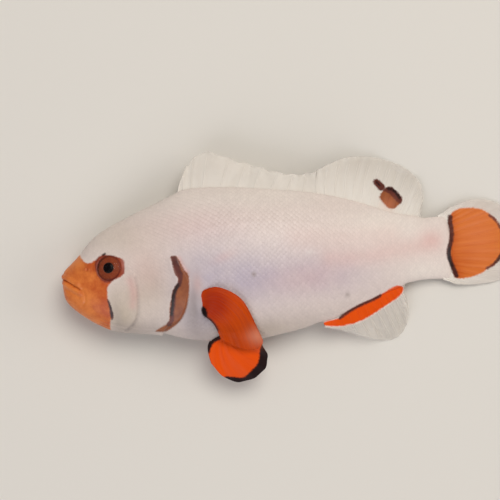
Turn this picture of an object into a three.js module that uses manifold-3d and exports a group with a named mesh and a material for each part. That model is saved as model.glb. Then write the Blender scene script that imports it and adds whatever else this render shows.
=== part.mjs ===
// Clownfish, Amphiprion ocellaris: an adult of a white aquarium strain, life size, lying on its right side.
// Millimetres. +X runs from the lips to the tail, +Y from the belly to the back, +Z up out of the left side.
// Places along and across the fish are fractions of its standard length, as in a key to fishes.

import * as THREE from 'three';
import { mergeVertices } from 'three/addons/utils/BufferGeometryUtils.js';
import Module from 'manifold-3d';

const wasm = await Module();
wasm.setup();

// Driving dimensions, in millimetres
const STANDARD_LENGTH = 74; // lips to the end of the backbone
const GAP = 0.3; // between neighbouring pieces
const FLANK_FLAT = 0.25; // how far the lower flank flattens on the floor
const FIN_EDGE = 0.6; // thickness at a fin's outer edge
const GILL_COVER = 1.2; // thickness of the gill cover
const EYE_RADIUS = 2.45; // across the eyeball
const EYE_DEPTH = 1.9; // half depth of the eyeball, which is flatter than a ball
const EYE_PROUD = 0.4; // how far the eye stands out of the head
const REACH = 60; // longer than any cut across the body
const COVER_START = 1; // how far the gill covers stay from the middle plane

// Stations down the body, as fractions of the standard length:
// place behind the lips, back, belly, half width, level of the widest point.
const BODY = [
  [0.0, -0.008, -0.008, 0.0, -0.008],
  [0.002, 0.018, -0.036, 0.012, -0.01],
  [0.012, 0.034, -0.057, 0.026, -0.012],
  [0.03, 0.05, -0.077, 0.038, -0.014],
  [0.055, 0.072, -0.098, 0.049, -0.016],
  [0.085, 0.103, -0.119, 0.059, -0.018],
  [0.125, 0.129, -0.139, 0.069, -0.02],
  [0.18, 0.153, -0.15, 0.079, -0.018],
  [0.25, 0.18, -0.16, 0.087, -0.01],
  [0.33, 0.207, -0.181, 0.093, 0.002],
  [0.445, 0.204, -0.196, 0.095, 0.006],
  [0.56, 0.188, -0.186, 0.088, 0.004],
  [0.666, 0.169, -0.164, 0.074, 0.003],
  [0.766, 0.141, -0.127, 0.056, 0.004],
  [0.85, 0.108, -0.098, 0.041, 0.003],
  [0.93, 0.085, -0.083, 0.03, 0.001],
  [1.01, 0.083, -0.086, 0.02, -0.001],
];
const BACK = 1;
const BELLY = 2;
const HALF_WIDTH = 3;
const WIDEST = 4;
const LIP_START = 0.0006; // the loft starts just behind the very tip
const BODY_RINGS = 34;
const RING_POINTS = 28;
const COVER_POINTS = 26;
const CUT_STEPS = 14;
const EYE_MERIDIANS = 18;
const EYE_PARALLELS = 10;
const FLANK_POWER = 1.2; // above 1 draws the section in towards the back and belly
const RIDGE_POWER = 0.94; // below 1 keeps the back and belly from coming to a sharp edge

// The tail of a limp fish sinks to the floor: its middle plane is level to DROOP_START and down at DROOP_END.
const MID_LEVEL = 0.095 * STANDARD_LENGTH - FLANK_FLAT;
const TAIL_LEVEL = FIN_EDGE / 2;
const DROOP_START = 0.54;
const DROOP_END = 1.2;
const SAG_POWER = 1.5;

// Side outlines, as fractions of the standard length
const GILL_OPENING = [[0.25, 0.3], [0.266, 0.17], [0.28, 0.11], [0.298, 0.042], [0.325, -0.03],
  [0.318, -0.08], [0.29, -0.126], [0.24, -0.158], [0.2, -0.3]];
const TAIL_START = [[0.765, 0.3], [0.785, 0.07], [0.785, -0.07], [0.765, -0.3]];
const COVER_OUTLINE = [[0.2, 0.038], [0.245, 0.052], [0.29, 0.042], [0.318, -0.03], [0.311, -0.078],
  [0.284, -0.12], [0.24, -0.143], [0.19, -0.128], [0.192, -0.09], [0.196, -0.03]];
const MOUTH_CORNER = [0.052, -0.024];
const MOUTH_FRONT = [-0.02, 0.006];
const LOWER_JAW_OUTLINE = [MOUTH_FRONT, MOUTH_CORNER, [0.07, -0.06], [0.088, -0.15], [-0.02, -0.15]];
const UPPER_JAW_OUTLINE = [MOUTH_FRONT, MOUTH_CORNER, [0.045, 0.01], [0.024, 0.1], [-0.02, 0.1]];
const EYE_PLACE = [0.129, 0.03];

const mm = (fraction) => fraction * STANDARD_LENGTH;

// A column of a station table at any place. Cubic pieces on the root of the place keep the snout blunt.
function along(table, column, place) {
  const knots = table.map((row) => Math.sqrt(row[0]));
  const values = table.map((row) => row[column]);
  const last = knots.length - 1;
  const x = THREE.MathUtils.clamp(Math.sqrt(Math.max(place, 0)), knots[0], knots[last]);
  const found = knots.findIndex((knot) => knot > x);
  const right = found < 1 ? last : found;
  const left = right - 1;
  const slope = (i) => {
    const before = Math.max(i - 1, 0);
    const after = Math.min(i + 1, last);
    return (values[after] - values[before]) / (knots[after] - knots[before]);
  };
  const span = knots[right] - knots[left];
  const t = (x - knots[left]) / span;
  const start = values[left] * (1 + 2 * t) * (1 - t) ** 2 + slope(left) * span * t * (1 - t) ** 2;
  const end = values[right] * t ** 2 * (3 - 2 * t) + slope(right) * span * t ** 2 * (t - 1);
  return start + end;
}

// Level of the body's middle plane above the floor.
function midLevel(place) {
  const sunk = THREE.MathUtils.smoothstep(place, DROOP_START, DROOP_END);
  return THREE.MathUtils.lerp(MID_LEVEL, TAIL_LEVEL, sunk);
}

// Half thickness of the body, in millimetres, at a place and a level given as fractions.
function flank(place, level) {
  const widest = along(BODY, WIDEST, place);
  const edge = along(BODY, level > widest ? BACK : BELLY, place);
  const share = Math.min(Math.abs((level - widest) / (edge - widest)), 1);
  const sine = share ** (1 / RIDGE_POWER);
  return mm(along(BODY, HALF_WIDTH, place)) * Math.sqrt(1 - sine ** 2) ** FLANK_POWER;
}

// A closed geometry through rings of equal length. Its ends are closed by strips between opposite points.
function loft(rings) {
  const count = rings[0].length;
  const triangles = [];
  const quad = (a, b, c, d) => triangles.push(a, b, c, a, c, d);
  for (let ring = 0; ring + 1 < rings.length; ring += 1) {
    for (let i = 0; i < count; i += 1) {
      const next = (i + 1) % count;
      quad(ring * count + i, ring * count + next, (ring + 1) * count + next, (ring + 1) * count + i);
    }
  }
  const last = (rings.length - 1) * count;
  for (let i = 0; i + 1 < count / 2; i += 1) {
    quad(count - 1 - i, count - 2 - i, i + 1, i);
    quad(last + i, last + i + 1, last + count - 2 - i, last + count - 1 - i);
  }
  const geometry = new THREE.BufferGeometry();
  const corners = rings.flat().flatMap((point) => point.toArray());
  geometry.setAttribute('position', new THREE.Float32BufferAttribute(corners, 3));
  geometry.setIndex(triangles);
  return geometry;
}

// A solid for cutting and joining, made from any closed geometry.
function solid(geometry) {
  const bare = geometry.clone();
  bare.deleteAttribute('normal');
  bare.deleteAttribute('uv');
  const merged = mergeVertices(bare, 1e-4);
  const vertProperties = merged.attributes.position.array;
  const triVerts = new Uint32Array(merged.index.array);
  return new wasm.Manifold(new wasm.Mesh({ numProp: 3, vertProperties, triVerts }));
}

// The whole body, made larger by a clearance or smaller by a negative one.
function bodySolid(clearance = 0) {
  const rings = [];
  const front = Math.sqrt(LIP_START);
  const rear = Math.sqrt(BODY.at(-1)[0]);
  for (let i = 0; i <= BODY_RINGS; i += 1) {
    const place = THREE.MathUtils.lerp(front, rear, i / BODY_RINGS) ** 2;
    const middle = mm(along(BODY, WIDEST, place));
    const back = mm(along(BODY, BACK, place)) - middle + clearance;
    const belly = middle - mm(along(BODY, BELLY, place)) + clearance;
    const half = mm(along(BODY, HALF_WIDTH, place)) + clearance;
    const ring = [];
    for (let k = 0; k < RING_POINTS; k += 1) {
      const angle = (2 * Math.PI * (k + 0.5)) / RING_POINTS;
      const rise = Math.sin(angle);
      const side = Math.cos(angle);
      const y = Math.sign(rise) * Math.abs(rise) ** RIDGE_POWER * (rise > 0 ? back : belly);
      const z = Math.sign(side) * Math.abs(side) ** FLANK_POWER * half;
      ring.push(new THREE.Vector3(mm(place), middle + y, midLevel(place) - z));
    }
    rings.push(ring);
  }
  return solid(loft(rings));
}

// A block that spans the body from side to side inside a side outline, with its edges moved out by a margin.
function prism(points, margin = 0, bottom = -REACH / 2, height = REACH) {
  const shape = new THREE.Shape(points.map(([x, y]) => new THREE.Vector2(mm(x), mm(y))));
  const bevel = { bevelEnabled: margin > 0, bevelSize: margin, bevelThickness: margin, bevelSegments: 1 };
  const geometry = new THREE.ExtrudeGeometry(shape, { depth: height, steps: 1, ...bevel });
  return solid(geometry.translate(0, 0, bottom));
}

function sideCurve(points) {
  return new THREE.SplineCurve(points.map(([x, y]) => new THREE.Vector2(x, y)));
}

// A block that covers all of the fish in front of a line of points, moved back by a shift.
function frontOf(line, shift = 0) {
  const smooth = sideCurve(line).getPoints(CUT_STEPS);
  const moved = smooth.map((p) => [p.x + shift / STANDARD_LENGTH, p.y]);
  return prism([[-1, moved[0][1]], [-1, moved.at(-1)[1]], ...moved.reverse()]);
}

// A closed outline through a few points, in a number of even steps.
function smoothLoop(points, count) {
  const curve = new THREE.CatmullRomCurve3(points.map(([x, y]) => new THREE.Vector3(x, y, 0)), true);
  return curve.getPoints(count).slice(0, count).map((p) => [p.x, p.y]);
}

// A fin: a thin plate between its base and its outer edge, both given as side outlines from front to rear.
// level(place, height) is its middle surface above the floor. A margin thickens it to make room for itself.
function finSolid({ base, edge, level, root = 1.2, across = 14, deep = 5, margin = 0 }) {
  const baseCurve = sideCurve(base);
  const edgeCurve = sideCurve(edge);
  const rings = [];
  for (let i = 0; i <= across; i += 1) {
    const from = baseCurve.getPoint(i / across);
    const to = edgeCurve.getPoint(i / across);
    const upper = [];
    const lower = [];
    for (let k = 0; k <= deep; k += 1) {
      const out = k / deep;
      const point = from.clone().lerp(to, out);
      const half = THREE.MathUtils.lerp(root, FIN_EDGE, Math.sqrt(out)) / 2 + margin;
      const middle = Math.max(level(point.x, point.y), half - margin);
      upper.push(new THREE.Vector3(mm(point.x), mm(point.y), middle + half));
      lower.unshift(new THREE.Vector3(mm(point.x), mm(point.y), middle - half));
    }
    rings.push([...upper, ...lower]);
  }
  const plate = solid(loft(rings));
  return plate.volume() > 0 ? plate : solid(loft(rings.reverse()));
}

// Fins on the middle plane bend down towards the floor, faster as they leave the body.
function saggingLevel(sag, offset = 0) {
  return (place, height) => {
    const clearOfBody = Math.max(height - along(BODY, BACK, place), along(BODY, BELLY, place) - height, 0);
    return midLevel(place) + offset - sag * mm(clearOfBody) ** SAG_POWER;
  };
}

function spinyDorsal() {
  const base = [[0.318, 0.19], [0.45, 0.192], [0.58, 0.172], [0.684, 0.152]];
  const edge = [[0.326, 0.222], [0.346, 0.272], [0.4, 0.309], [0.478, 0.277], [0.566, 0.243], [0.625, 0.226],
    [0.682, 0.228]];
  return finSolid({ base, edge, level: saggingLevel(0.1), across: 18 });
}

function softDorsal() {
  const base = [[0.689, 0.15], [0.77, 0.125], [0.86, 0.09], [0.938, 0.07]];
  const edge = [[0.687, 0.231], [0.763, 0.257], [0.815, 0.2575], [0.866, 0.245], [0.92, 0.22], [0.957, 0.18],
    [0.962, 0.135], [0.952, 0.094]];
  return finSolid({ base, edge, level: saggingLevel(0.1), across: 16 });
}

function analFin() {
  const base = [[0.672, -0.145], [0.75, -0.118], [0.82, -0.092], [0.882, -0.072]];
  const edge = [[0.67, -0.178], [0.72, -0.194], [0.79, -0.223], [0.8345, -0.2325], [0.869, -0.222],
    [0.891, -0.19], [0.896, -0.149], [0.89, -0.1]];
  return finSolid({ base, edge, level: saggingLevel(0.12) });
}

function caudalFin() {
  const base = [[1.0145, 0.083], [1.0145, 0.03], [1.0145, -0.03], [1.0145, -0.086]];
  const edge = [[1.022, 0.098], [1.07, 0.116], [1.13, 0.115], [1.18, 0.09], [1.21, 0.045], [1.216, -0.005],
    [1.205, -0.05], [1.172, -0.088], [1.12, -0.105], [1.06, -0.106], [1.02, -0.099]];
  return finSolid({ base, edge, level: midLevel, root: 2.7, across: 20 });
}

// The upper pectoral fin lies folded down over the flank and hangs past the belly.
function leftPectoral() {
  const base = [[0.364, -0.045], [0.362, -0.08], [0.365, -0.12]];
  const edge = [[0.385, -0.041], [0.42, -0.055], [0.452, -0.078], [0.474, -0.112], [0.488, -0.155],
    [0.5, -0.2], [0.478, -0.218], [0.44, -0.208], [0.404, -0.185], [0.382, -0.145], [0.372, -0.126]];
  const hangsFrom = -0.14;
  const hangSlope = 0.6;
  const level = (place, height) => {
    const free = mm(Math.max(hangsFrom - height, 0));
    const hanging = flank(place, Math.max(height, hangsFrom)) - hangSlope * free;
    return midLevel(place) + Math.max(hanging, flank(place, height)) + GAP + FIN_EDGE;
  };
  return finSolid({ base, edge, level, root: 0.9 });
}

// The lower pectoral fin is pressed flat between the flank and the floor, and a margin makes room for it.
function rightPectoral(margin = 0) {
  const spread = margin / STANDARD_LENGTH;
  const base = [[0.366 - spread, -0.045 + spread], [0.364 - spread, -0.08],
    [0.366 - spread, -0.115 - spread]];
  const edge = [[0.385, -0.036 + spread], [0.45, -0.036 + spread], [0.52 + spread, -0.055 + spread],
    [0.555 + spread, -0.09], [0.53 + spread, -0.122 - spread], [0.46, -0.136 - spread],
    [0.385, -0.124 - spread]];
  return finSolid({ base, edge, level: () => FIN_EDGE / 2, root: FIN_EDGE, deep: 4, margin });
}

function leftPelvic() {
  const base = [[0.35, -0.172], [0.372, -0.176], [0.4, -0.178]];
  const edge = [[0.352, -0.212], [0.362, -0.247], [0.39, -0.279], [0.43, -0.301], [0.475, -0.294],
    [0.506, -0.27], [0.515, -0.235], [0.505, -0.207], [0.455, -0.203]];
  return finSolid({ base, edge, level: saggingLevel(0.13, 0.75), root: 1 });
}

function rightPelvic() {
  const base = [[0.35, -0.172], [0.372, -0.176], [0.4, -0.178]];
  const edge = [[0.362, -0.21], [0.38, -0.243], [0.41, -0.27], [0.45, -0.281], [0.485, -0.272],
    [0.503, -0.248], [0.503, -0.222], [0.475, -0.206], [0.44, -0.203]];
  return finSolid({ base, edge, level: saggingLevel(0.2, -0.8), root: 1 });
}

// Side is 1 for the left, upper eye and -1 for the right, lower one.
function eyeGeometry(side, clearance = 0) {
  const [place, height] = EYE_PLACE;
  const depth = flank(place, height) + EYE_PROUD - EYE_DEPTH;
  const geometry = new THREE.SphereGeometry(1, EYE_MERIDIANS, EYE_PARALLELS);
  geometry.rotateX(Math.PI / 2);
  geometry.scale(EYE_RADIUS + clearance, EYE_RADIUS + clearance, EYE_DEPTH + clearance);
  return geometry.translate(mm(place), mm(height), midLevel(place) + side * depth);
}

// The gill cover is the outer layer of the cheek behind the preopercle.
function gillCover(whole, side, margin = 0) {
  const inner = bodySolid(-GILL_COVER - margin);
  const outline = smoothLoop(COVER_OUTLINE, COVER_POINTS);
  const bottom = side > 0 ? MID_LEVEL + COVER_START - margin : MID_LEVEL - COVER_START + margin - REACH;
  return whole.intersect(prism(outline, margin, bottom, REACH)).subtract(inner);
}

function flesh() {
  const floor = prism([[-0.2, -1], [1.4, -1], [1.4, 1], [-0.2, 1]], 0, -REACH, REACH);
  const whole = bodySolid().subtract(floor);
  const covers = [1, -1].map((side) => gillCover(whole, side));
  const eyes = [1, -1].map((side) => solid(eyeGeometry(side)));
  const front = whole.intersect(frontOf(GILL_OPENING));
  const lowerJaw = front.intersect(prism(LOWER_JAW_OUTLINE));
  const upperJaw = front.intersect(prism(UPPER_JAW_OUTLINE)).subtract(prism(LOWER_JAW_OUTLINE, GAP));
  let head = front.subtract(prism(LOWER_JAW_OUTLINE, GAP)).subtract(prism(UPPER_JAW_OUTLINE, GAP));
  for (const side of [1, -1]) {
    head = head.subtract(gillCover(bodySolid(GAP), side, GAP)).subtract(solid(eyeGeometry(side, GAP)));
  }
  const behindHead = whole.subtract(frontOf(GILL_OPENING, GAP));
  const trunk = behindHead.intersect(frontOf(TAIL_START)).subtract(rightPectoral(GAP));
  const peduncle = behindHead.subtract(frontOf(TAIL_START, GAP));
  return { head, lowerJaw, upperJaw, covers, eyes, trunk, peduncle };
}

function skin(color, roughness = 0.45) {
  return new THREE.MeshStandardMaterial({ color, roughness, metalness: 0 });
}

const whiteSkin = () => skin('#d9c6bb');
const orangeSkin = () => skin('#c4692f');
const clearFin = () => skin('#dcd6c9', 0.35);
const orangeFin = () => skin('#cf4b1c', 0.35);
const wetEye = () => skin('#4a2018', 0.1);

function piece(name, shape, material) {
  const { vertProperties, triVerts } = shape.getMesh();
  const geometry = new THREE.BufferGeometry();
  geometry.setAttribute('position', new THREE.BufferAttribute(vertProperties, 3));
  geometry.setIndex(new THREE.BufferAttribute(triVerts, 1));
  geometry.computeVertexNormals();
  const mesh = new THREE.Mesh(geometry, material);
  mesh.name = name;
  return mesh;
}

function clownfish() {
  const fish = new THREE.Group();
  const body = flesh();
  const clearBody = bodySolid(GAP);
  const pectoral = leftPectoral();
  fish.add(piece('head', body.head, whiteSkin()));
  fish.add(piece('upper_jaw', body.upperJaw, orangeSkin()));
  fish.add(piece('lower_jaw', body.lowerJaw, orangeSkin()));
  fish.add(piece('gill_cover_left', body.covers[0], whiteSkin()));
  fish.add(piece('gill_cover_right', body.covers[1], whiteSkin()));
  fish.add(piece('eye_left', body.eyes[0], wetEye()));
  fish.add(piece('eye_right', body.eyes[1], wetEye()));
  fish.add(piece('trunk', body.trunk, whiteSkin()));
  fish.add(piece('tail', body.peduncle, whiteSkin()));
  fish.add(piece('dorsal_fin_spiny', spinyDorsal().subtract(clearBody), clearFin()));
  fish.add(piece('dorsal_fin_soft', softDorsal().subtract(clearBody), clearFin()));
  fish.add(piece('anal_fin', analFin().subtract(clearBody), orangeFin()));
  fish.add(piece('tail_fin', caudalFin(), orangeFin()));
  fish.add(piece('pectoral_fin_left', pectoral.subtract(clearBody), orangeFin()));
  fish.add(piece('pectoral_fin_right', rightPectoral(), orangeFin()));
  fish.add(piece('pelvic_fin_left', leftPelvic().subtract(clearBody), orangeFin()));
  fish.add(piece('pelvic_fin_right', rightPelvic().subtract(clearBody), orangeFin()));
  return fish;
}

// The origin is on the floor, under the middle of the whole fish.
const fish = clownfish();
const extent = new THREE.Box3().setFromObject(fish);
const middle = extent.getCenter(new THREE.Vector3());
fish.position.set(-middle.x, -middle.y, 0);

export default fish;
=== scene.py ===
"""A white clownfish, Amphiprion ocellaris, at life size: the looks of a still model on its right side.

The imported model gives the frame. Lengths are in millimetres unless a name says otherwise. A point on the
side of the fish is (place, height): place runs back from the lips and height up from the fish's axis,
both as shares of the standard length, from the lips to the end of the backbone. Level is millimetres
above the floor.
"""

import logging
import math
from dataclasses import dataclass, field
from enum import Enum

import bpy
import numpy as np
from bpy.types import Material, Mesh, Node, NodeSocket, NodeTree, Object
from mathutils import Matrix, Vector, noise
from mathutils.bvhtree import BVHTree
from numpy import ndarray


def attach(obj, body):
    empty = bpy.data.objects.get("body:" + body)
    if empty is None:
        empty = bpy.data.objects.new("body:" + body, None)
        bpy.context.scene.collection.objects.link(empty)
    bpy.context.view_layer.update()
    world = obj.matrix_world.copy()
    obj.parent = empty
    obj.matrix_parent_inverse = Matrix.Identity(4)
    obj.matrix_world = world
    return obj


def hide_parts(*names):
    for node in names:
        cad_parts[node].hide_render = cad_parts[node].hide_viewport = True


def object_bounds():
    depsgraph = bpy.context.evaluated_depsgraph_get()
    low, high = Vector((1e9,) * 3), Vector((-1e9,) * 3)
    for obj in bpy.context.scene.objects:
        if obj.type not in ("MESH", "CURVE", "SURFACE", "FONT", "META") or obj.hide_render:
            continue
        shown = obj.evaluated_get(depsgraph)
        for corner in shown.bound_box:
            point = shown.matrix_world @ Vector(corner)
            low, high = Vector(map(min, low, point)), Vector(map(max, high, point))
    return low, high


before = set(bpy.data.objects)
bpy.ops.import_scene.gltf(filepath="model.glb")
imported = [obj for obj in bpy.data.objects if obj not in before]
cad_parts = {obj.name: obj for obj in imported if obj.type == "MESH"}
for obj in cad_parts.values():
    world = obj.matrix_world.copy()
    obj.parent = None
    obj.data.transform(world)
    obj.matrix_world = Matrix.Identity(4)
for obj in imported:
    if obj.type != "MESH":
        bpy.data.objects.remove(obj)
CAD_LOW, CAD_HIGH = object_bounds()

LOG = logging.getLogger("clownfish")
MM = 0.001
ROOT = "root"
COAT_MAP = "OFBake"
FAR = 1e3  # a distance that is out of reach of every mark and fold
TINY = 1e-12  # added to a length that may be 0 before anything is divided by it

Pair = tuple[float, float]


class Side(Enum):
    """The two flanks. The fish lies on its right one, so the left one faces up."""

    LEFT = 1
    RIGHT = -1


class Slot(Enum):
    """The record's material slots."""

    WHITE = "white_skin"
    ORANGE = "orange_fin"
    CLEAR = "clear_fin"
    EYE = "wet_eye"


def ease(value: ndarray, low: float, high: float) -> ndarray:
    """Climbs smoothly from 0 where the value is low to 1 where it is high."""
    share = np.clip((np.asarray(value, float) - low) / (high - low), 0, 1)
    return share * share * (3 - 2 * share)


def window(value: ndarray, rise: Pair, fall: Pair) -> ndarray:
    """Climbs from 0 to 1 between the two values of rise and sinks back to 0 between those of fall."""
    return ease(value, *rise) * (1 - ease(value, *fall))


def bell(distance: ndarray, width: float) -> ndarray:
    """A smooth bump that is 1 at no distance and fades over the width."""
    return np.exp(-((distance / width) ** 2))


def unit(vectors: ndarray) -> ndarray:
    """The vectors along the last axis, each brought to a length of 1."""
    return vectors / (np.linalg.norm(vectors, axis=-1, keepdims=True) + TINY)


def smooth_curve(points: ndarray, at: ndarray, closed: bool = False) -> ndarray:
    """A Catmull-Rom curve through control points, or through rows of them.

    Args:
        points: Control points along the first axis.
        at: Where to read the curve, from 0 at its start to 1 at its end.
        closed: Whether the curve runs back to its first point.

    Returns:
        A point, or a row of points, for each value of at.
    """
    count = len(points)
    spans = count if closed else count - 1
    along = np.clip(at, 0, 1) * spans
    left = np.minimum(along.astype(int), spans - 1)
    share = (along - left).reshape((-1,) + (1,) * (points.ndim - 1))
    picks = [left + step for step in (-1, 0, 1, 2)]
    a, b, c, d = (points[pick % count if closed else np.clip(pick, 0, count - 1)] for pick in picks)
    bend = share * (2 * a - 5 * b + 4 * c - d) + share**2 * (3 * b - a - 3 * c + d)
    return b + 0.5 * share * (c - a + bend)


@dataclass(frozen=True)
class FishFrame:
    """Where the fish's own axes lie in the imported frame.

    Args:
        length: Standard length.
        lips: X of the lips.
        axis: Y of the fish's axis, from which heights are counted.
    """

    length: float
    lips: float
    axis: float

    TOTAL = 1.2154  # overall length as a share of the standard length
    FIN_TOP = 0.309  # top of the spiny dorsal fin above the axis
    LIP_START = 0.0006  # how far behind the very tip of the lips the solids start

    @classmethod
    def from_box(cls, low: Vector, high: Vector) -> "FishFrame":
        """Works the axes out from the lowest and highest corner of the CAD model's box, in metres."""
        length = (high.x - low.x) / MM / cls.TOTAL
        return cls(length, low.x / MM - cls.LIP_START * length, high.y / MM - cls.FIN_TOP * length)

    def metres(self, points: ndarray) -> ndarray:
        """Puts points given as millimetres of place, height and level into the frame, in metres."""
        return (points.reshape(-1, 3) + (self.lips, self.axis, 0)) * MM

    def side_view(self, metres: ndarray) -> ndarray:
        """Millimetres of place and height of points in the frame."""
        return metres[:, :2] / MM - (self.lips, self.axis)


class Station(Enum):
    """Columns of the table of stations down the body."""

    PLACE = 0
    BACK = 1
    BELLY = 2
    HALF = 3
    WIDEST = 4


@dataclass(frozen=True)
class BodyShape:
    """The body as a loft through stations: place, back, belly, half width and level of the widest point.

    Args:
        fish: The fish's frame.
        coat: Depth of the coat of scales, by which the skin lies inside the solids.
        stations: The table, in the order of Station.
    """

    fish: FishFrame
    coat: float = 0.1
    stations: tuple[tuple[float, ...], ...] = (
        (0.0, -0.008, -0.008, 0.0, -0.008),
        (0.002, 0.018, -0.036, 0.012, -0.01),
        (0.012, 0.034, -0.057, 0.026, -0.012),
        (0.03, 0.05, -0.077, 0.038, -0.014),
        (0.055, 0.072, -0.098, 0.049, -0.016),
        (0.085, 0.103, -0.119, 0.059, -0.018),
        (0.125, 0.129, -0.139, 0.069, -0.02),
        (0.18, 0.153, -0.15, 0.079, -0.018),
        (0.25, 0.18, -0.16, 0.087, -0.01),
        (0.33, 0.207, -0.181, 0.093, 0.002),
        (0.445, 0.204, -0.196, 0.095, 0.006),
        (0.56, 0.188, -0.186, 0.088, 0.004),
        (0.666, 0.169, -0.164, 0.074, 0.003),
        (0.766, 0.141, -0.127, 0.056, 0.004),
        (0.85, 0.108, -0.098, 0.041, 0.003),
        (0.93, 0.085, -0.083, 0.03, 0.001),
        (1.01, 0.083, -0.086, 0.02, -0.001),
    )

    FLANK_POWER = 1.2  # above 1 draws the section in towards the back and belly
    RIDGE_POWER = 0.94  # below 1 keeps the back and belly from coming to a sharp edge
    MIDDLE = 0.095  # half width of the fish where it rests, as a share of its length
    FLATTENED = 0.25  # how far the lower flank flattens on the floor
    TAIL_LEVEL = 0.3
    DROOP = (0.54, 1.2)  # where the middle starts to sink and where it reaches the tail's level
    CAP_START = 0.985  # where the fleshy tail base starts to thin out over the fin
    TAIL_END = 1.026
    CAP_BULGE = 0.012  # how far the middle of the tail base reaches past its corners
    CAP_FULLEST = 0.985  # how much of the round end is kept, so that it doesn't come to a sharp edge
    SNOUT_TIP = 0.01  # the stretch over which the skin comes to lie inside the snout

    def along(self, station: Station, place: ndarray) -> ndarray:
        """Reads a column of the stations at any place, along a smooth curve through its values.

        Args:
            station: The column.
            place: Places down the body.

        Returns:
            The column's values, as shares of the length.
        """
        table = np.array(self.stations)
        knots = np.sqrt(table[:, Station.PLACE.value])
        values = table[:, station.value]
        before = np.maximum(np.arange(len(knots)) - 1, 0)
        after = np.minimum(np.arange(len(knots)) + 1, len(knots) - 1)
        slopes = (values[after] - values[before]) / (knots[after] - knots[before])
        x = np.clip(np.sqrt(np.maximum(place, 0)), knots[0], knots[-1])
        right = np.clip(np.searchsorted(knots, x, side="right"), 1, len(knots) - 1)
        left = right - 1
        span = knots[right] - knots[left]
        t = (x - knots[left]) / span
        start = values[left] * (1 + 2 * t) * (1 - t) ** 2 + slopes[left] * span * t * (1 - t) ** 2
        end = values[right] * t**2 * (3 - 2 * t) + slopes[right] * span * t**2 * (t - 1)
        return start + end

    def middle(self, place: ndarray) -> ndarray:
        """Level of the middle plane above the floor. The tail of the limp fish sinks to the floor."""
        rest = self.MIDDLE * self.fish.length - self.FLATTENED
        return rest + (self.TAIL_LEVEL - rest) * ease(place, *self.DROOP)

    def flank(self, place: ndarray, height: ndarray) -> ndarray:
        """Half thickness of the body at a point of its side.

        Args:
            place: Places down the body.
            height: Heights above the axis.

        Returns:
            Millimetres from the middle plane to the flank.
        """
        back, belly, half, widest = (self.along(column, place) for column in list(Station)[1:])
        edge = np.where(height > widest, back, belly)
        share = np.minimum(np.abs((height - widest) / (edge - widest)), 1)
        sine = share ** (1 / self.RIDGE_POWER)
        return self.fish.length * half * np.sqrt(1 - sine**2) ** self.FLANK_POWER

    def facing(self, place: ndarray, height: ndarray, side: Side, step: float) -> ndarray:
        """Directions out of a flank, from its slope.

        Args:
            place: Places down the body.
            height: Heights above the axis.
            side: The flank.
            step: How far to each side the slope is taken, as a share of the length.

        Returns:
            A direction for each point, along a last axis.
        """
        run = 2 * step * self.fish.length
        back = (self.flank(place + step, height) - self.flank(place - step, height)) / run
        up = (self.flank(place, height + step) - self.flank(place, height - step)) / run
        return unit(np.stack([-back, -up, np.full(back.shape, float(side.value))], -1))

    def beyond(self, place: ndarray, height: ndarray) -> ndarray:
        """How far a point on a fin is clear of the back or the belly, in millimetres."""
        above = height - self.along(Station.BACK, place)
        below = self.along(Station.BELLY, place) - height
        return self.fish.length * np.maximum(np.maximum(above, below), 0)

    def surface(self, place: ndarray, angle: ndarray) -> ndarray:
        """Points on the skin. Angle 0 is the left flank, a quarter turn the back, a half the right flank.

        Args:
            place: Places down the body.
            angle: Angles round the body, of the same shape as place.

        Returns:
            Millimetres of place, height and level, along a last axis.
        """
        length = self.fish.length
        back, belly, half, widest = (length * self.along(column, place) for column in list(Station)[1:])
        # Near the very tip the sizes are smaller than the coat, so they shrink instead of turning inside out.
        back, belly, half = (reach**2 / (reach + self.coat + TINY)
                             for reach in (back - widest, widest - belly, half))
        cap = np.clip((place - self.CAP_START) / (self.TAIL_END - self.CAP_START), 0, self.CAP_FULLEST)
        rise = np.sin(angle)
        across = np.cos(angle)
        height = widest + np.sign(rise) * np.abs(rise) ** self.RIDGE_POWER * np.where(rise > 0, back, belly)
        spread = np.sign(across) * np.abs(across) ** self.FLANK_POWER * half * np.sqrt(1 - cap**2)
        x = length * (place - self.CAP_BULGE * cap**2 * rise**2)
        x += self.coat * (1 - ease(place, 0, self.SNOUT_TIP))
        return np.stack([x, height, self.middle(place) + spread], -1)


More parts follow.
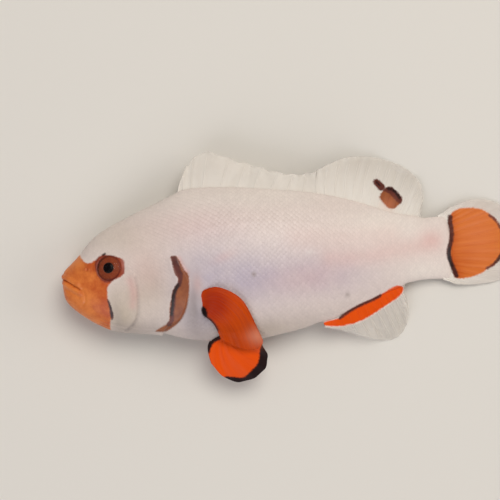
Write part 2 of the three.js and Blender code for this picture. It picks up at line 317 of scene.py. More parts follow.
@dataclass(frozen=True)
class Trace:
    """A smooth line, or a closed outline, through a few points on the side of the fish.

    Args:
        points: The points, as place and height.
        closed: Whether it is an outline.
        width: Half width of a line where it marks an area, in millimetres.
    """

    points: tuple[Pair, ...]
    closed: bool = False
    width: float = 0.0

    STEPS = 8  # straight steps between two points

    def gap(self, seen: ndarray, length: float, reach: float = 4) -> ndarray:
        """Signed distances from the trace, in millimetres.

        Args:
            seen: Millimetres of place and height of each point.
            length: Standard length.
            reach: Distance past the trace's own box within which points are measured.

        Returns:
            A distance for each point: positive inside an outline or to the left of a line's course, and
            out of reach, which is FAR outside, for the points beyond.
        """
        spans = len(self.points) - (not self.closed)
        at = np.linspace(0, 1, spans * self.STEPS + 1)
        curve = smooth_curve(np.array(self.points) * length, at, self.closed)
        result = np.full(len(seen), -FAR)
        near = ((seen > curve.min(0) - reach) & (seen < curve.max(0) + reach)).all(1)
        points = seen[near]
        best = np.full(len(points), FAR)
        sign = np.ones(len(points))
        inside = np.zeros(len(points), bool)
        for start, end in zip(curve[:-1], curve[1:]):
            run = end - start
            reached = np.clip((points - start) @ run / max(run @ run, TINY), 0, 1)
            away = points - start - reached[:, None] * run
            distance = np.hypot(away[:, 0], away[:, 1])
            nearer = distance < best
            best = np.where(nearer, distance, best)
            sign = np.where(nearer, np.sign(run[0] * away[:, 1] - run[1] * away[:, 0] + TINY), sign)
            crosses = (start[1] > points[:, 1]) != (end[1] > points[:, 1])
            slope = run[0] / run[1] if run[1] else 0
            inside ^= crosses & (points[:, 0] < start[0] + slope * (points[:, 1] - start[1]))
        result[near] = best * (np.where(inside, 1, -1) if self.closed else sign)
        return result

    def depth(self, seen: ndarray, length: float) -> ndarray:
        """How deep inside the marked area each point lies, in millimetres, negative outside."""
        gap = self.gap(seen, length)
        return gap if self.closed else self.width - np.abs(gap)


@dataclass(frozen=True)
class Spot:
    """A soft oval tone on the side of the fish.

    Args:
        centre: Its centre.
        radii: Its half length and half height.
        strength: Its strength at the centre.
        tilt: Its turn from level, in degrees, rear end up.
    """

    centre: Pair
    radii: Pair
    strength: float
    tilt: float = 0

    def tone(self, seen: ndarray, length: float) -> ndarray:
        """Strength at each point, given in millimetres of place and height."""
        away = seen / length - self.centre
        turn = math.radians(self.tilt)
        along = away @ (math.cos(turn), math.sin(turn)) / self.radii[0]
        across = away @ (-math.sin(turn), math.cos(turn)) / self.radii[1]
        return self.strength * np.exp(-(along**2 + across**2))


@dataclass(frozen=True)
class Stroke:
    """A soft line of tone on the side of the fish.

    Args:
        points: Its course, as place and height.
        width: Its half width in millimetres.
        strength: Its strength along the middle.
    """

    points: tuple[Pair, ...]
    width: float
    strength: float

    def tone(self, seen: ndarray, length: float) -> ndarray:
        """Strength at each point, given in millimetres of place and height."""
        return self.strength * bell(Trace(self.points).gap(seen, length), self.width)


EYE_PLACE = (0.129, 0.0278)
GILL_OPENING = Trace(((0.255, 0.3), (0.273, 0.17), (0.288, 0.11), (0.306, 0.042), (0.3315, -0.02),
    (0.3255, -0.07), (0.3, -0.122), (0.25, -0.155), (0.21, -0.3)))
GILL_CREASE = Trace(((0.2925, 0.0395), (0.2955, 0.015), (0.3055, -0.018), (0.2925, -0.046),
    (0.2825, -0.068), (0.2765, -0.092), (0.272, -0.119), (0.242, -0.142)))
PREOPERCLE = Trace(((0.1945, -0.004), (0.197, -0.034), (0.1972, -0.06), (0.194, -0.092), (0.186, -0.112),
    (0.172, -0.128), (0.156, -0.138)))
MOUTH = Trace(((-0.03, 0.004), (0.0, 0.0065), (0.01, 0.005), (0.03, -0.009), (0.052, -0.024)))


class Pigment(Enum):
    """Pigments, where they are thin and where they are dense. Each lies inside a crisp edge, and is kept on
    a mesh as the signed distance from that edge. A few dark lines of them are painted shade: partly along
    the gill cover's edge, and where the anal fin meets the belly."""

    ORANGE = ("#e07e35", "#bd5218")
    CORAL = ("#ea560c", "#d4430a")
    RED = ("#dd540a", "#a62c05")
    RUST = ("#9c4120", "#7f2c16")
    BROWN = ("#9c5a34", "#7b3e25")
    MAROON = ("#6b352c", "#42201c")
    BLACK = ("#2a1716", "#140d0e")


class Tone(Enum):
    """Soft tones over the white flesh, one of them mostly painted shade, and where pigment is rich. Each is
    kept on a mesh as a strength from 0 to 1."""

    CLAY = "clay"
    COOL = "cool"
    BLUSH = "blush"
    # painted shade on the lower flank, the throat, the strip behind the gill cover and the preopercle's
    # groove, and two small grey specks
    SHADE = "shade"
    CREAM = "cream"
    RICH = "rich"


@dataclass(frozen=True)
class Markings:
    """What is painted on a piece: outlines for each pigment and soft tones for the white.

    Args:
        outlines: The outlines of each pigment.
        tones: The spots and strokes of each tone.
        all_over: A pigment that covers the whole piece, if any.
    """

    outlines: dict[Pigment, tuple[Trace, ...]] = field(default_factory=dict)
    tones: dict[Tone, tuple[Spot | Stroke, ...]] = field(default_factory=dict)
    all_over: Pigment | None = None

    INSIDE = 5.0  # millimetres inside the edge that stand for the middle of a marking

    def paint(self, mesh: Mesh, fish: FishFrame) -> None:
        """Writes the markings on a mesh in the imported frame, as attributes.

        Args:
            mesh: The mesh.
            fish: The fish's frame.
        """
        seen = fish.side_view(read(mesh.vertices, "co", 3))
        for pigment in Pigment:
            depth = np.full(len(seen), self.INSIDE if self.all_over is pigment else -self.INSIDE)
            for outline in self.outlines.get(pigment, ()):
                depth = np.maximum(depth, outline.depth(seen, fish.length))
            set_attribute(mesh, pigment.name.lower(), np.clip(depth, -self.INSIDE, self.INSIDE))
        for tone in Tone:
            strength = np.zeros(len(seen))
            for mark in self.tones.get(tone, ()):
                strength = strength + mark.tone(seen, fish.length)
            set_attribute(mesh, tone.value, np.clip(strength, 0, 1))


FACE = Trace(((-0.06, -0.02), (-0.05, 0.11), (0.03, 0.1), (0.055, 0.064), (0.0665, 0.049), (0.0775, 0.0445),
    (0.088, 0.047), (0.099, 0.05), (0.117, 0.03), (0.132, -0.006), (0.1225, -0.02), (0.1195, -0.043),
    (0.1215, -0.062), (0.1255, -0.08), (0.126, -0.1), (0.1195, -0.108), (0.115, -0.13), (0.105, -0.2),
    (-0.05, -0.18)), closed=True)
EYE_PATCH = Trace(((0.0945, 0.043), (0.1005, 0.0548), (0.113, 0.0622), (0.1205, 0.064), (0.1295, 0.0605),
    (0.144, 0.0575), (0.1625, 0.0495), (0.17, 0.042), (0.1712, 0.0295), (0.1685, 0.0117), (0.1587, 0.0025),
    (0.1435, -0.003), (0.13, -0.0095), (0.115, -0.0075), (0.1035, 0.003), (0.0975, 0.0125),
    (0.0945, 0.025)), closed=True)
FACE_EDGE = Trace(((0.1175, -0.052), (0.1225, -0.0565), (0.127, -0.075), (0.1295, -0.092), (0.1275, -0.103),
    (0.122, -0.1065), (0.121, -0.095), (0.12, -0.072)), closed=True)
FACE_BLACK = Trace(((0.122, -0.066), (0.1255, -0.082), (0.126, -0.096)), width=0.14)
GILL_BAND = Trace(((0.291, 0.0405), (0.299, 0.0425), (0.3075, 0.04), (0.3155, 0.0225), (0.322, 0.006),
    (0.331, -0.006), (0.333, -0.0185), (0.3305, -0.046), (0.326, -0.069), (0.319, -0.092), (0.3075, -0.114),
    (0.292, -0.1313), (0.2722, -0.1433), (0.2574, -0.15), (0.232, -0.1475), (0.247, -0.1376),
    (0.264, -0.13), (0.2723, -0.1177), (0.2759, -0.09), (0.283, -0.065), (0.2877, -0.0517),
    (0.3007, -0.0388), (0.3052, -0.0159), (0.298, -0.0037), (0.2945, 0.02)), closed=True)
GILL_TOP = Trace(((0.291, 0.0405), (0.299, 0.0425), (0.306, 0.0395), (0.3115, 0.023), (0.314, 0.0066),
    (0.319, -0.008), (0.3125, -0.018), (0.3054, -0.0136), (0.298, -0.0037), (0.2945, 0.02)), closed=True)
# dark lines along the gill cover's bony edge: partly its own pigment, partly painted shade in the groove
# behind the edge
GILL_FRONT_AND_SHADE = Trace(((0.312, -0.0165), (0.3065, -0.03), (0.296, -0.043), (0.291, -0.0543), (0.2866, -0.0772),
    (0.281, -0.1), (0.278, -0.1208), (0.269, -0.132)), width=0.4)
GILL_BLACK_AND_SHADE = Trace(((0.3045, -0.031), (0.296, -0.0435), (0.2905, -0.0545), (0.2867, -0.068),
    (0.284, -0.083), (0.281, -0.097), (0.279, -0.107)), width=0.27)
TAIL_PATCH = Trace(((1.0275, 0.079), (1.0445, 0.0935), (1.074, 0.0975), (1.113, 0.0903), (1.136, 0.0735),
    (1.154, 0.0515), (1.1655, 0.018), (1.165, -0.016), (1.153, -0.041), (1.138, -0.057), (1.116, -0.0685),
    (1.0955, -0.0795), (1.0615, -0.087), (1.0285, -0.0845), (1.0205, -0.0574), (1.0125, -0.03),
    (1.012, -0.01), (1.021, 0.012), (1.0255, 0.0355), (1.0245, 0.062)), closed=True)
TAIL_MAROON = (Trace(((1.0285, 0.0765), (1.027, 0.063), (1.0285, 0.0365), (1.024, 0.0125),
    (1.0155, -0.0095), (1.0155, -0.03), (1.0235, -0.057), (1.0305, -0.078)), width=0.48),
    Trace(((1.134, 0.0725), (1.1535, 0.05), (1.1645, 0.018), (1.164, -0.016), (1.152, -0.04),
    (1.137, -0.0555), (1.114, -0.0675)), width=0.28))
TAIL_BLACK = (Trace(((1.0185, -0.004), (1.0145, -0.018), (1.0155, -0.034), (1.0205, -0.052)), width=0.28),
    Trace(((1.1655, 0.004), (1.164, -0.016), (1.152, -0.04), (1.138, -0.054)), width=0.27))
ANAL_BAND = Trace(((0.66, -0.17), (0.68, -0.163), (0.711, -0.1585), (0.7325, -0.1445), (0.764, -0.1303),
    (0.7986, -0.1192), (0.83, -0.1055), (0.855, -0.093), (0.869, -0.0893), (0.883, -0.093),
    (0.886, -0.1015), (0.8805, -0.111), (0.8656, -0.1236), (0.83, -0.1422), (0.795, -0.1608),
    (0.76, -0.1744), (0.719, -0.1805), (0.685, -0.1778)), closed=True)
# painted shade: a dark line where the anal fin meets the belly
ANAL_ROOT_SHADE = Trace(((0.711, -0.1592), (0.7325, -0.1465), (0.764, -0.1322), (0.798, -0.1212),
    (0.823, -0.1113)), width=0.3)
DORSAL_FLECK = Trace(((0.833, 0.1912), (0.8445, 0.195), (0.8545, 0.187), (0.864, 0.174), (0.861, 0.1655),
    (0.8505, 0.162), (0.8415, 0.171), (0.8345, 0.1832)), closed=True)
DORSAL_SPOT = Trace(((0.855, 0.1603), (0.867, 0.1677), (0.8806, 0.1683), (0.891, 0.1573), (0.9035, 0.1415),
    (0.9045, 0.131), (0.899, 0.124), (0.885, 0.1139), (0.8753, 0.112), (0.8644, 0.1169), (0.8543, 0.13),
    (0.846, 0.1422), (0.848, 0.1515)), closed=True)
DORSAL_DARK = Trace(((0.858, 0.1625), (0.867, 0.1697), (0.881, 0.1703), (0.8925, 0.159), (0.9045, 0.1427),
    (0.9055, 0.131), (0.899, 0.1235), (0.892, 0.129), (0.8835, 0.139), (0.8754, 0.15), (0.866, 0.1573)),
    closed=True)
DORSAL_BLACK = Trace(((0.872, 0.1655), (0.8815, 0.164), (0.8925, 0.1515), (0.8995, 0.139)), width=0.26)
PELVIC_BLACK = (Trace(((0.399, -0.168), (0.3985, -0.182), (0.3802, -0.1906), (0.3711, -0.2015),
    (0.364, -0.217), (0.355, -0.2), (0.36, -0.18), (0.38, -0.168)), closed=True), Trace(((0.398, -0.285),
    (0.412, -0.2835), (0.4456, -0.289), (0.468, -0.273), (0.488, -0.253), (0.5, -0.208), (0.52, -0.2),
    (0.525, -0.26), (0.48, -0.305), (0.42, -0.31)), closed=True))
PECTORAL_ROOT = Trace(((0.3615, -0.06), (0.37, -0.0505), (0.388, -0.0475), (0.4, -0.06), (0.4, -0.1),
    (0.37, -0.114), (0.3605, -0.106), (0.366, -0.093), (0.3605, -0.077)), closed=True)
PECTORAL_BLACK = Trace(((0.356, -0.1), (0.361, -0.0925), (0.3675, -0.0965), (0.3705, -0.1065),
    (0.3705, -0.117), (0.3635, -0.121), (0.3575, -0.111)), closed=True)
PECTORAL_EDGE = Trace(((0.3605, -0.112), (0.3695, -0.1225), (0.3795, -0.1335), (0.3875, -0.146),
    (0.392, -0.158)), width=0.3)
TAIL_RIM = Stroke(TAIL_MAROON[0].points, 1.2, 0.6)

BODY_MARKS = Markings(
    outlines={
        Pigment.ORANGE: (FACE, TAIL_PATCH),
        Pigment.CORAL: (ANAL_BAND,),
        Pigment.RED: (PECTORAL_ROOT,),
        Pigment.RUST: (EYE_PATCH,),
        Pigment.BROWN: (GILL_BAND,),
        Pigment.MAROON: (FACE_EDGE, GILL_TOP, GILL_FRONT_AND_SHADE, TAIL_MAROON[0], ANAL_ROOT_SHADE),
        Pigment.BLACK: (FACE_BLACK, GILL_BLACK_AND_SHADE, TAIL_BLACK[0], PECTORAL_BLACK,
                        Trace(((0.1175, 0.0625), (0.1225, 0.0645)), width=0.2)),
    },
    tones={
        Tone.CLAY: (Spot((0.152, -0.085), (0.045, 0.06), 0.85), Spot((0.24, -0.04), (0.06, 0.08), 0.6),
                    Spot((0.352, -0.045), (0.014, 0.04), 0.7), Spot((0.17, 0.1), (0.08, 0.04), 0.3),
                    Spot((0.5, -0.17), (0.12, 0.025), 0.5)),
        Tone.COOL: (Spot((0.5, -0.03), (0.2, 0.075), 0.85), Spot((0.35, -0.12), (0.05, 0.06), 0.8),
                    Spot((0.39, 0.045), (0.11, 0.1), 0.32),
                    Spot((0.72, -0.05), (0.12, 0.05), 0.4)),
        Tone.BLUSH: (Stroke(((0.182, -0.01), (0.187, -0.04), (0.182, -0.075)), 0.8, 0.4),
                     Stroke(((0.311, 0.034), (0.318, 0.014), (0.328, -0.002)), 0.5, 0.6),
                     Stroke(((0.7, 0.0), (0.8, -0.006), (0.9, 0.004), (0.975, 0.016)), 1.9, 0.28),
                     Stroke(((0.62, 0.06), (0.75, 0.05), (0.86, 0.05)), 2.5, 0.16),
                     Spot((0.972, 0.021), (0.03, 0.03), 0.32), Spot((0.63, -0.045), (0.1, 0.04), 0.25),
                     Spot((0.36, 0.12), (0.14, 0.05), 0.2), Spot((0.225, 0.01), (0.05, 0.06), 0.2),
                     Spot((0.353, -0.035), (0.012, 0.024), 0.35),
                     Spot((0.43, 0.03), (0.03, 0.012), 0.25, 20)),
        # Painted shade: the lower flank and throat, the strip behind the gill cover and the preopercle's
        # groove; the last two spots are small grey specks.
        Tone.SHADE: (Spot((0.338, -0.1), (0.03, 0.06), 0.7), Spot((0.42, -0.17), (0.1, 0.035), 0.5),
                     Spot((0.58, -0.15), (0.12, 0.035), 0.25), Spot((0.2, -0.14), (0.09, 0.025), 0.5),
                     Spot((0.14, -0.1), (0.015, 0.05), 0.35), Stroke(PREOPERCLE.points, 0.26, 0.6),
                     Spot((0.499, -0.023), (0.0055, 0.006), 0.8), Spot((0.735, -0.1), (0.006, 0.006), 0.6)),
        Tone.CREAM: (Spot((0.45, 0.18), (0.3, 0.045), 0.7), Spot((0.85, 0.08), (0.15, 0.04), 0.8),
                     Spot((0.95, -0.06), (0.08, 0.03), 0.7), Spot((0.14, 0.11), (0.06, 0.04), 0.3),
                     Spot((0.647, 0.02), (0.012, 0.006), 0.8)),
        Tone.RICH: (Stroke(((0.125, -0.01), (0.112, -0.03), (0.112, -0.075), (0.113, -0.11)), 1.1, 0.8),
                    Spot((0.1, -0.02), (0.03, 0.05), 0.35), Spot((0.09, 0.04), (0.02, 0.02), 0.7),
                    TAIL_RIM),
    },
)
CLEAR_FIN_MARKS = Markings()
SOFT_DORSAL_MARKS = Markings(
    {Pigment.BROWN: (DORSAL_SPOT,), Pigment.MAROON: (DORSAL_FLECK, DORSAL_DARK),
     Pigment.BLACK: (DORSAL_BLACK, Trace(((0.842, 0.187), (0.85, 0.177)), width=0.18))},
    {Tone.BLUSH: (Spot((0.868, 0.125), (0.02, 0.018), 0.3),)})
ANAL_MARKS = Markings({Pigment.CORAL: (ANAL_BAND,), Pigment.MAROON: (ANAL_ROOT_SHADE,)})
TAIL_MARKS = Markings(
    {Pigment.ORANGE: (TAIL_PATCH,), Pigment.MAROON: TAIL_MAROON, Pigment.BLACK: TAIL_BLACK},
    {Tone.RICH: (TAIL_RIM, Spot((1.04, -0.04), (0.05, 0.05), 0.3)),
     Tone.BLUSH: (Spot((1.1, 0.02), (0.06, 0.08), 0.22),)})
PECTORAL_MARKS = Markings(
    {Pigment.MAROON: (PECTORAL_EDGE,), Pigment.BLACK: (PECTORAL_BLACK,)},
    {Tone.RICH: (Spot((0.39, -0.09), (0.045, 0.05), 1.0),),
     Tone.BLUSH: (Spot((0.494, -0.182), (0.026, 0.023), 0.95),)}, all_over=Pigment.RED)
PELVIC_MARKS = Markings(
    {Pigment.BLACK: PELVIC_BLACK}, {Tone.BLUSH: (Spot((0.494, -0.184), (0.028, 0.021), 0.95),)},
    all_over=Pigment.CORAL)


def grid_corners(rows: int, columns: int) -> tuple[ndarray, ndarray]:
    """Rows and columns of the four corners of each quad of a grid.

    Args:
        rows: Rows of quads.
        columns: Quads in a row.

    Returns:
        The corners' rows and their columns, four to a quad.
    """
    row, column = np.meshgrid(np.arange(rows), np.arange(columns), indexing="ij")
    return row.reshape(-1, 1) + (0, 0, 1, 1), column.reshape(-1, 1) + (0, 1, 1, 0)


def fan_faces(ring: ndarray, pole: int) -> ndarray:
    """Triangles from each two neighbours of a closed ring of vertices to a pole."""
    return np.stack([ring, np.roll(ring, -1), np.full(len(ring), pole)], 1)


def outward(points: ndarray, groups: list[ndarray]) -> bool:
    """Whether the faces of a closed shape, in groups of one corner count each, point outwards."""
    volume = 0.0
    for group in groups:
        for k in range(1, group.shape[1] - 1):
            a, b, c = (points[group[:, i]] for i in (0, k, k + 1))
            volume += np.einsum("ij,ij->", a, np.cross(b, c))
    return volume > 0


def add_object(name: str, mesh: Mesh) -> Object:
    """Puts a mesh into the scene, at the origin."""
    added = bpy.data.objects.new(name, mesh)
    bpy.context.scene.collection.objects.link(added)
    return added


def make_piece(name: str, points: ndarray, groups: list[ndarray],
               coat_map: list[ndarray] | None = None) -> Object:
    """Makes a smooth closed piece whose faces point outwards.

    Args:
        name: Its name.
        points: Its vertices, in metres.
        groups: Its faces, in groups of one corner count each.
        coat_map: The coat map's place of each face corner, in the same groups.

    Returns:
        The piece, at the origin.
    """
    if not outward(points, groups):
        groups = [group[:, ::-1] for group in groups]
        coat_map = coat_map and [corners[:, ::-1] for corners in coat_map]
    mesh = bpy.data.meshes.new(name)
    mesh.vertices.add(len(points))
    mesh.vertices.foreach_set("co", points.astype(np.float32).ravel())
    corners = np.concatenate([group.ravel() for group in groups])
    mesh.loops.add(len(corners))
    mesh.loops.foreach_set("vertex_index", corners.astype(np.int32))
    sizes = np.concatenate([np.full(len(group), group.shape[1]) for group in groups])
    mesh.polygons.add(len(sizes))
    mesh.polygons.foreach_set("loop_start", (np.cumsum(sizes) - sizes).astype(np.int32))
    mesh.update(calc_edges=True)
    mesh.shade_smooth()
    if coat_map:
        set_coat_map(mesh, np.concatenate([corners.reshape(-1, 2) for corners in coat_map]))
    return add_object(name, mesh)


def set_coat_map(mesh: Mesh, spots: ndarray) -> None:
    """Gives each face corner of a mesh its place on the coat map."""
    layer = mesh.uv_layers.new(name=COAT_MAP)
    layer.uv.foreach_set("vector", spots.astype(np.float32).ravel())


def set_attribute(mesh: Mesh, name: str, values: ndarray) -> None:
    """Writes an attribute on the vertices of a mesh.

    Args:
        mesh: The mesh.
        name: The attribute's name.
        values: A number, or a row of three, for each vertex.
    """
    kind, key = ("FLOAT_VECTOR", "vector") if values.ndim > 1 else ("FLOAT", "value")
    layer = mesh.attributes.get(name) or mesh.attributes.new(name, kind, "POINT")
    layer.data.foreach_set(key, values.astype(np.float32).ravel())


def read(items: bpy.types.bpy_prop_collection, key: str, width: int = 1, kind: type = float) -> ndarray:
    """Reads a number, or a row of them, from each of a mesh's items.

    Args:
        items: Its vertices, corners, triangles or normals, or an attribute's data.
        key: What is read of each.
        width: How many numbers that is.
        kind: Whether they are float or int.

    Returns:
        The numbers, in rows where an item has several.
    """
    values = np.empty(len(items) * width, np.float32 if kind is float else np.int32)
    items.foreach_get(key, values)
    values = values.astype(kind)
    return values.reshape(-1, width) if width > 1 else values


def lathe(profile: tuple[Pair, ...], sides: int, along: int = 0) -> tuple[ndarray, list[ndarray]]:
    """A closed round shape from a profile that starts and ends on the axis.

    Args:
        profile: Points as radius and height, the first and last at radius 0.
        sides: Vertices round the axis.
        along: Rows of vertices down a smooth profile, poles left out, or 0 to keep its own corners.

    Returns:
        The vertices round the Z axis and the faces in groups.
    """
    curve = np.array(profile, float)
    if along:
        curve = smooth_curve(curve, np.linspace(0, 1, along + 2))
    inner = curve[1:-1]
    turn = np.arange(sides) * math.tau / sides
    rows = np.stack([np.outer(inner[:, 0], np.cos(turn)), np.outer(inner[:, 0], np.sin(turn)),
                     np.repeat(inner[:, 1:], sides, 1)], -1).reshape(-1, 3)
    points = np.vstack([rows, (0, 0, curve[0, 1]), (0, 0, curve[-1, 1])])
    row, column = grid_corners(len(inner) - 1, sides)
    ring = np.arange(sides)
    first = fan_faces(ring, len(rows))[:, ::-1]
    last = fan_faces(len(rows) - sides + ring, len(rows) + 1)
    return points, [row * sides + column % sides, np.vstack([first, last])]


def slab(upper: ndarray, lower: ndarray) -> tuple[ndarray, list[ndarray]]:
    """A closed thin shape between two sheets of points.

    Args:
        upper: A grid of points, (rows, columns, 3).
        lower: The grid under it.

    Returns:
        The vertices and the faces in one group.
    """
    rows, columns = upper.shape[:2]
    row, column = grid_corners(rows - 1, columns - 1)
    top = row * columns + column
    below = rows * columns
    index = np.arange(below).reshape(rows, columns)
    rim = np.concatenate([index[0], index[1:, -1], index[-1, -2::-1], index[-2:0:-1, 0]])
    after = np.roll(rim, -1)
    walls = np.stack([after, rim, rim + below, after + below], 1)
    points = np.vstack([upper.reshape(-1, 3), lower.reshape(-1, 3)])
    return points, [np.vstack([top, top[:, ::-1] + below, walls])]


def add_node(tree: NodeTree, kind: str, settings: dict | None = None, inputs: dict | None = None) -> Node:
    """Adds a node with its settings and inputs.

    Args:
        tree: The tree it goes in.
        kind: The node's type.
        settings: Values of its properties.
        inputs: For each socket, by identifier, a value or what feeds it: an output, or the node whose first
            output does.

    Returns:
        The node.
    """
    node = tree.nodes.new(kind)
    for name, value in (settings or {}).items():
        setattr(node, name, value)
    for name, value in (inputs or {}).items():
        socket = next(s for s in node.inputs if s.identifier == name)
        if isinstance(value, Node):
            value = next(s for s in value.outputs if s.enabled)
        if isinstance(value, NodeSocket):
            tree.links.new(value, socket)
        else:
            socket.default_value = value
    return node


def linear(colour: str) -> tuple[float, float, float, float]:
    """Turns an sRGB hex colour into linear red, green, blue and alpha."""
    shares = (int(colour[i:i + 2], 16) / 255 for i in (1, 3, 5))
    return (*(s / 12.92 if s <= 0.04045 else ((s + 0.055) / 1.055) ** 2.4 for s in shares), 1.0)


def open_tree(name: str, inputs: dict[str, str]) -> tuple[NodeTree, Node]:
    """Starts a Geometry Nodes tree with geometry in and out.

    Args:
        name: The tree's name.
        inputs: The socket type of each further input, by name.

    Returns:
        The tree and its input node.
    """
    tree = bpy.data.node_groups.new(name, "GeometryNodeTree")
    for way in ("INPUT", "OUTPUT"):
        tree.interface.new_socket("Geometry", in_out=way, socket_type="NodeSocketGeometry")
    for label, kind in inputs.items():
        tree.interface.new_socket(label, in_out="INPUT", socket_type=kind)
    return tree, add_node(tree, "NodeGroupInput")


def close_tree(tree: NodeTree, geometry: Node, material: NodeSocket) -> None:
    """Ends a tree: instances made real, then the material set.

    Args:
        tree: The tree.
        geometry: The node that gives the result.
        material: The output that holds the material.
    """
    real = add_node(tree, "GeometryNodeRealizeInstances", inputs={"Geometry": geometry})
    dressed = add_node(tree, "GeometryNodeSetMaterial", inputs={"Geometry": real, "Material": material})
    tree.links.new(dressed.outputs["Geometry"], add_node(tree, "NodeGroupOutput").inputs[0])


def grow(name: str, seeds: Mesh, tree: NodeTree, inputs: dict) -> Object:
    """Runs a Geometry Nodes tree on a mesh and keeps the result as a plain mesh.

    Args:
        name: The name of the piece.
        seeds: The mesh that goes in.
        tree: The tree.
        inputs: A value for each of the tree's named inputs.

    Returns:
        The piece, at the origin.
    """
    piece = add_object(name, seeds)
    modifier = piece.modifiers.new(tree.name, "NODES")
    modifier.node_group = tree
    for item in tree.interface.items_tree:
        if item.item_type == "SOCKET" and item.in_out == "INPUT" and item.name in inputs:
            modifier[item.identifier] = inputs[item.name]
    bpy.context.view_layer.update()
    graph = bpy.context.evaluated_depsgraph_get()
    mesh = bpy.data.meshes.new_from_object(piece.evaluated_get(graph), preserve_all_data_layers=True,
                                           depsgraph=graph)
    piece.modifiers.remove(modifier)
    piece.data = mesh
    mesh.name = name
    return piece


def seed_mesh(name: str, points: ndarray, edges: list[tuple[int, int]], kept: dict[str, ndarray]) -> Mesh:
    """Makes the points or courses that a Geometry Nodes tree starts from.

    Args:
        name: The mesh's name.
        points: Its vertices, in metres.
        edges: The two vertices of each edge.
        kept: The attributes on its vertices, by name.

    Returns:
        The mesh.
    """
    mesh = bpy.data.meshes.new(name)
    mesh.from_pydata(points.tolist(), edges, [])
    for label, values in kept.items():
        set_attribute(mesh, label, values)
    return mesh


def finish_piece(piece: Object, nodes: tuple[str, ...] = (),
                 material: Material | None = None) -> Object:
    """Gives a piece its body and what else it lacks.

    Args:
        piece: The piece.
        nodes: The CAD nodes that it replaces.
        material: Its material, if it has none yet.

    Returns:
        The piece.
    """
    if material:
        piece.data.materials.append(material)
    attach(piece, ROOT)
    if nodes:
        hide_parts(*nodes)
    return piece


MIX = ("ShaderNodeMix", {"data_type": "RGBA"})
SMOOTH = ("ShaderNodeMapRange", {"interpolation_type": "SMOOTHSTEP"})
SCALE_AND_ADD = ("ShaderNodeMath", {"operation": "MULTIPLY_ADD"})


def new_material(name: str) -> tuple[Material, NodeTree]:
    """An empty node material and its tree."""
    material = bpy.data.materials.new(name)
    material.use_nodes = True
    material.node_tree.nodes.clear()
    return material, material.node_tree


def per_metre(size: float) -> float:
    """Scale of a pattern whose feature is that many millimetres across."""
    return 1 / (size * MM)


def attribute(tree: NodeTree, name: str, output: str = "Fac") -> NodeSocket:
    """A number kept on the mesh, or a vector where output says so."""
    return add_node(tree, "ShaderNodeAttribute", {"attribute_name": name}).outputs[output]


@dataclass(frozen=True)
class Pigmentation:
    """Pigment cells in the outer skin, laid over a ground colour, each pigment inside its own ragged edge.

    Args:
        soft: How many millimetres an edge takes to fade.
        cell: Size of the clusters of cells that make edges ragged. Real cells are finer than shows.
    """

    soft: float = 0.2
    cell: float = 0.3

    RICHNESS = 0.3  # how much denser the pattern is where pigment is rich

    def over(self, tree: NodeTree, ground: Node, place: NodeSocket, density: Node) -> Node:
        """Adds the pigments to a tree.

        Args:
            tree: The tree.
            ground: The colour under them.
            place: The coordinates of the ragged edges.
            density: A pattern that is about a half, and higher where the pigments are dense.

        Returns:
            The colour with the pigments over it.
        """
        cells = add_node(tree, "ShaderNodeTexNoise", inputs={
            "Vector": place, "Scale": per_metre(self.cell), "Detail": 2.0, "Roughness": 0.6})
        richer = add_node(tree, *SCALE_AND_ADD, {
            "Value": attribute(tree, Tone.RICH.value), "Value_001": self.RICHNESS, "Value_002": density})
        dense = add_node(tree, "ShaderNodeMapRange", inputs={
            "Value": richer, "From Min": 0.4, "From Max": 0.76})
        ragged = add_node(tree, *SCALE_AND_ADD, {
            "Value": cells, "Value_001": 2.0 * self.soft, "Value_002": -1.0 * self.soft})
        result = ground
        for pigment in Pigment:
            thin, thick = map(linear, pigment.value)
            hue = add_node(tree, *MIX, {"Factor_Float": dense, "A_Color": thin, "B_Color": thick})
            depth = add_node(tree, "ShaderNodeMath", {"operation": "ADD"}, {
                "Value": attribute(tree, pigment.name.lower()), "Value_001": ragged})
            share = add_node(tree, *SMOOTH, {"Value": depth, "From Min": -self.soft, "From Max": self.soft})
            result = add_node(tree, *MIX, {"Factor_Float": share, "A_Color": result, "B_Color": hue})
        return result


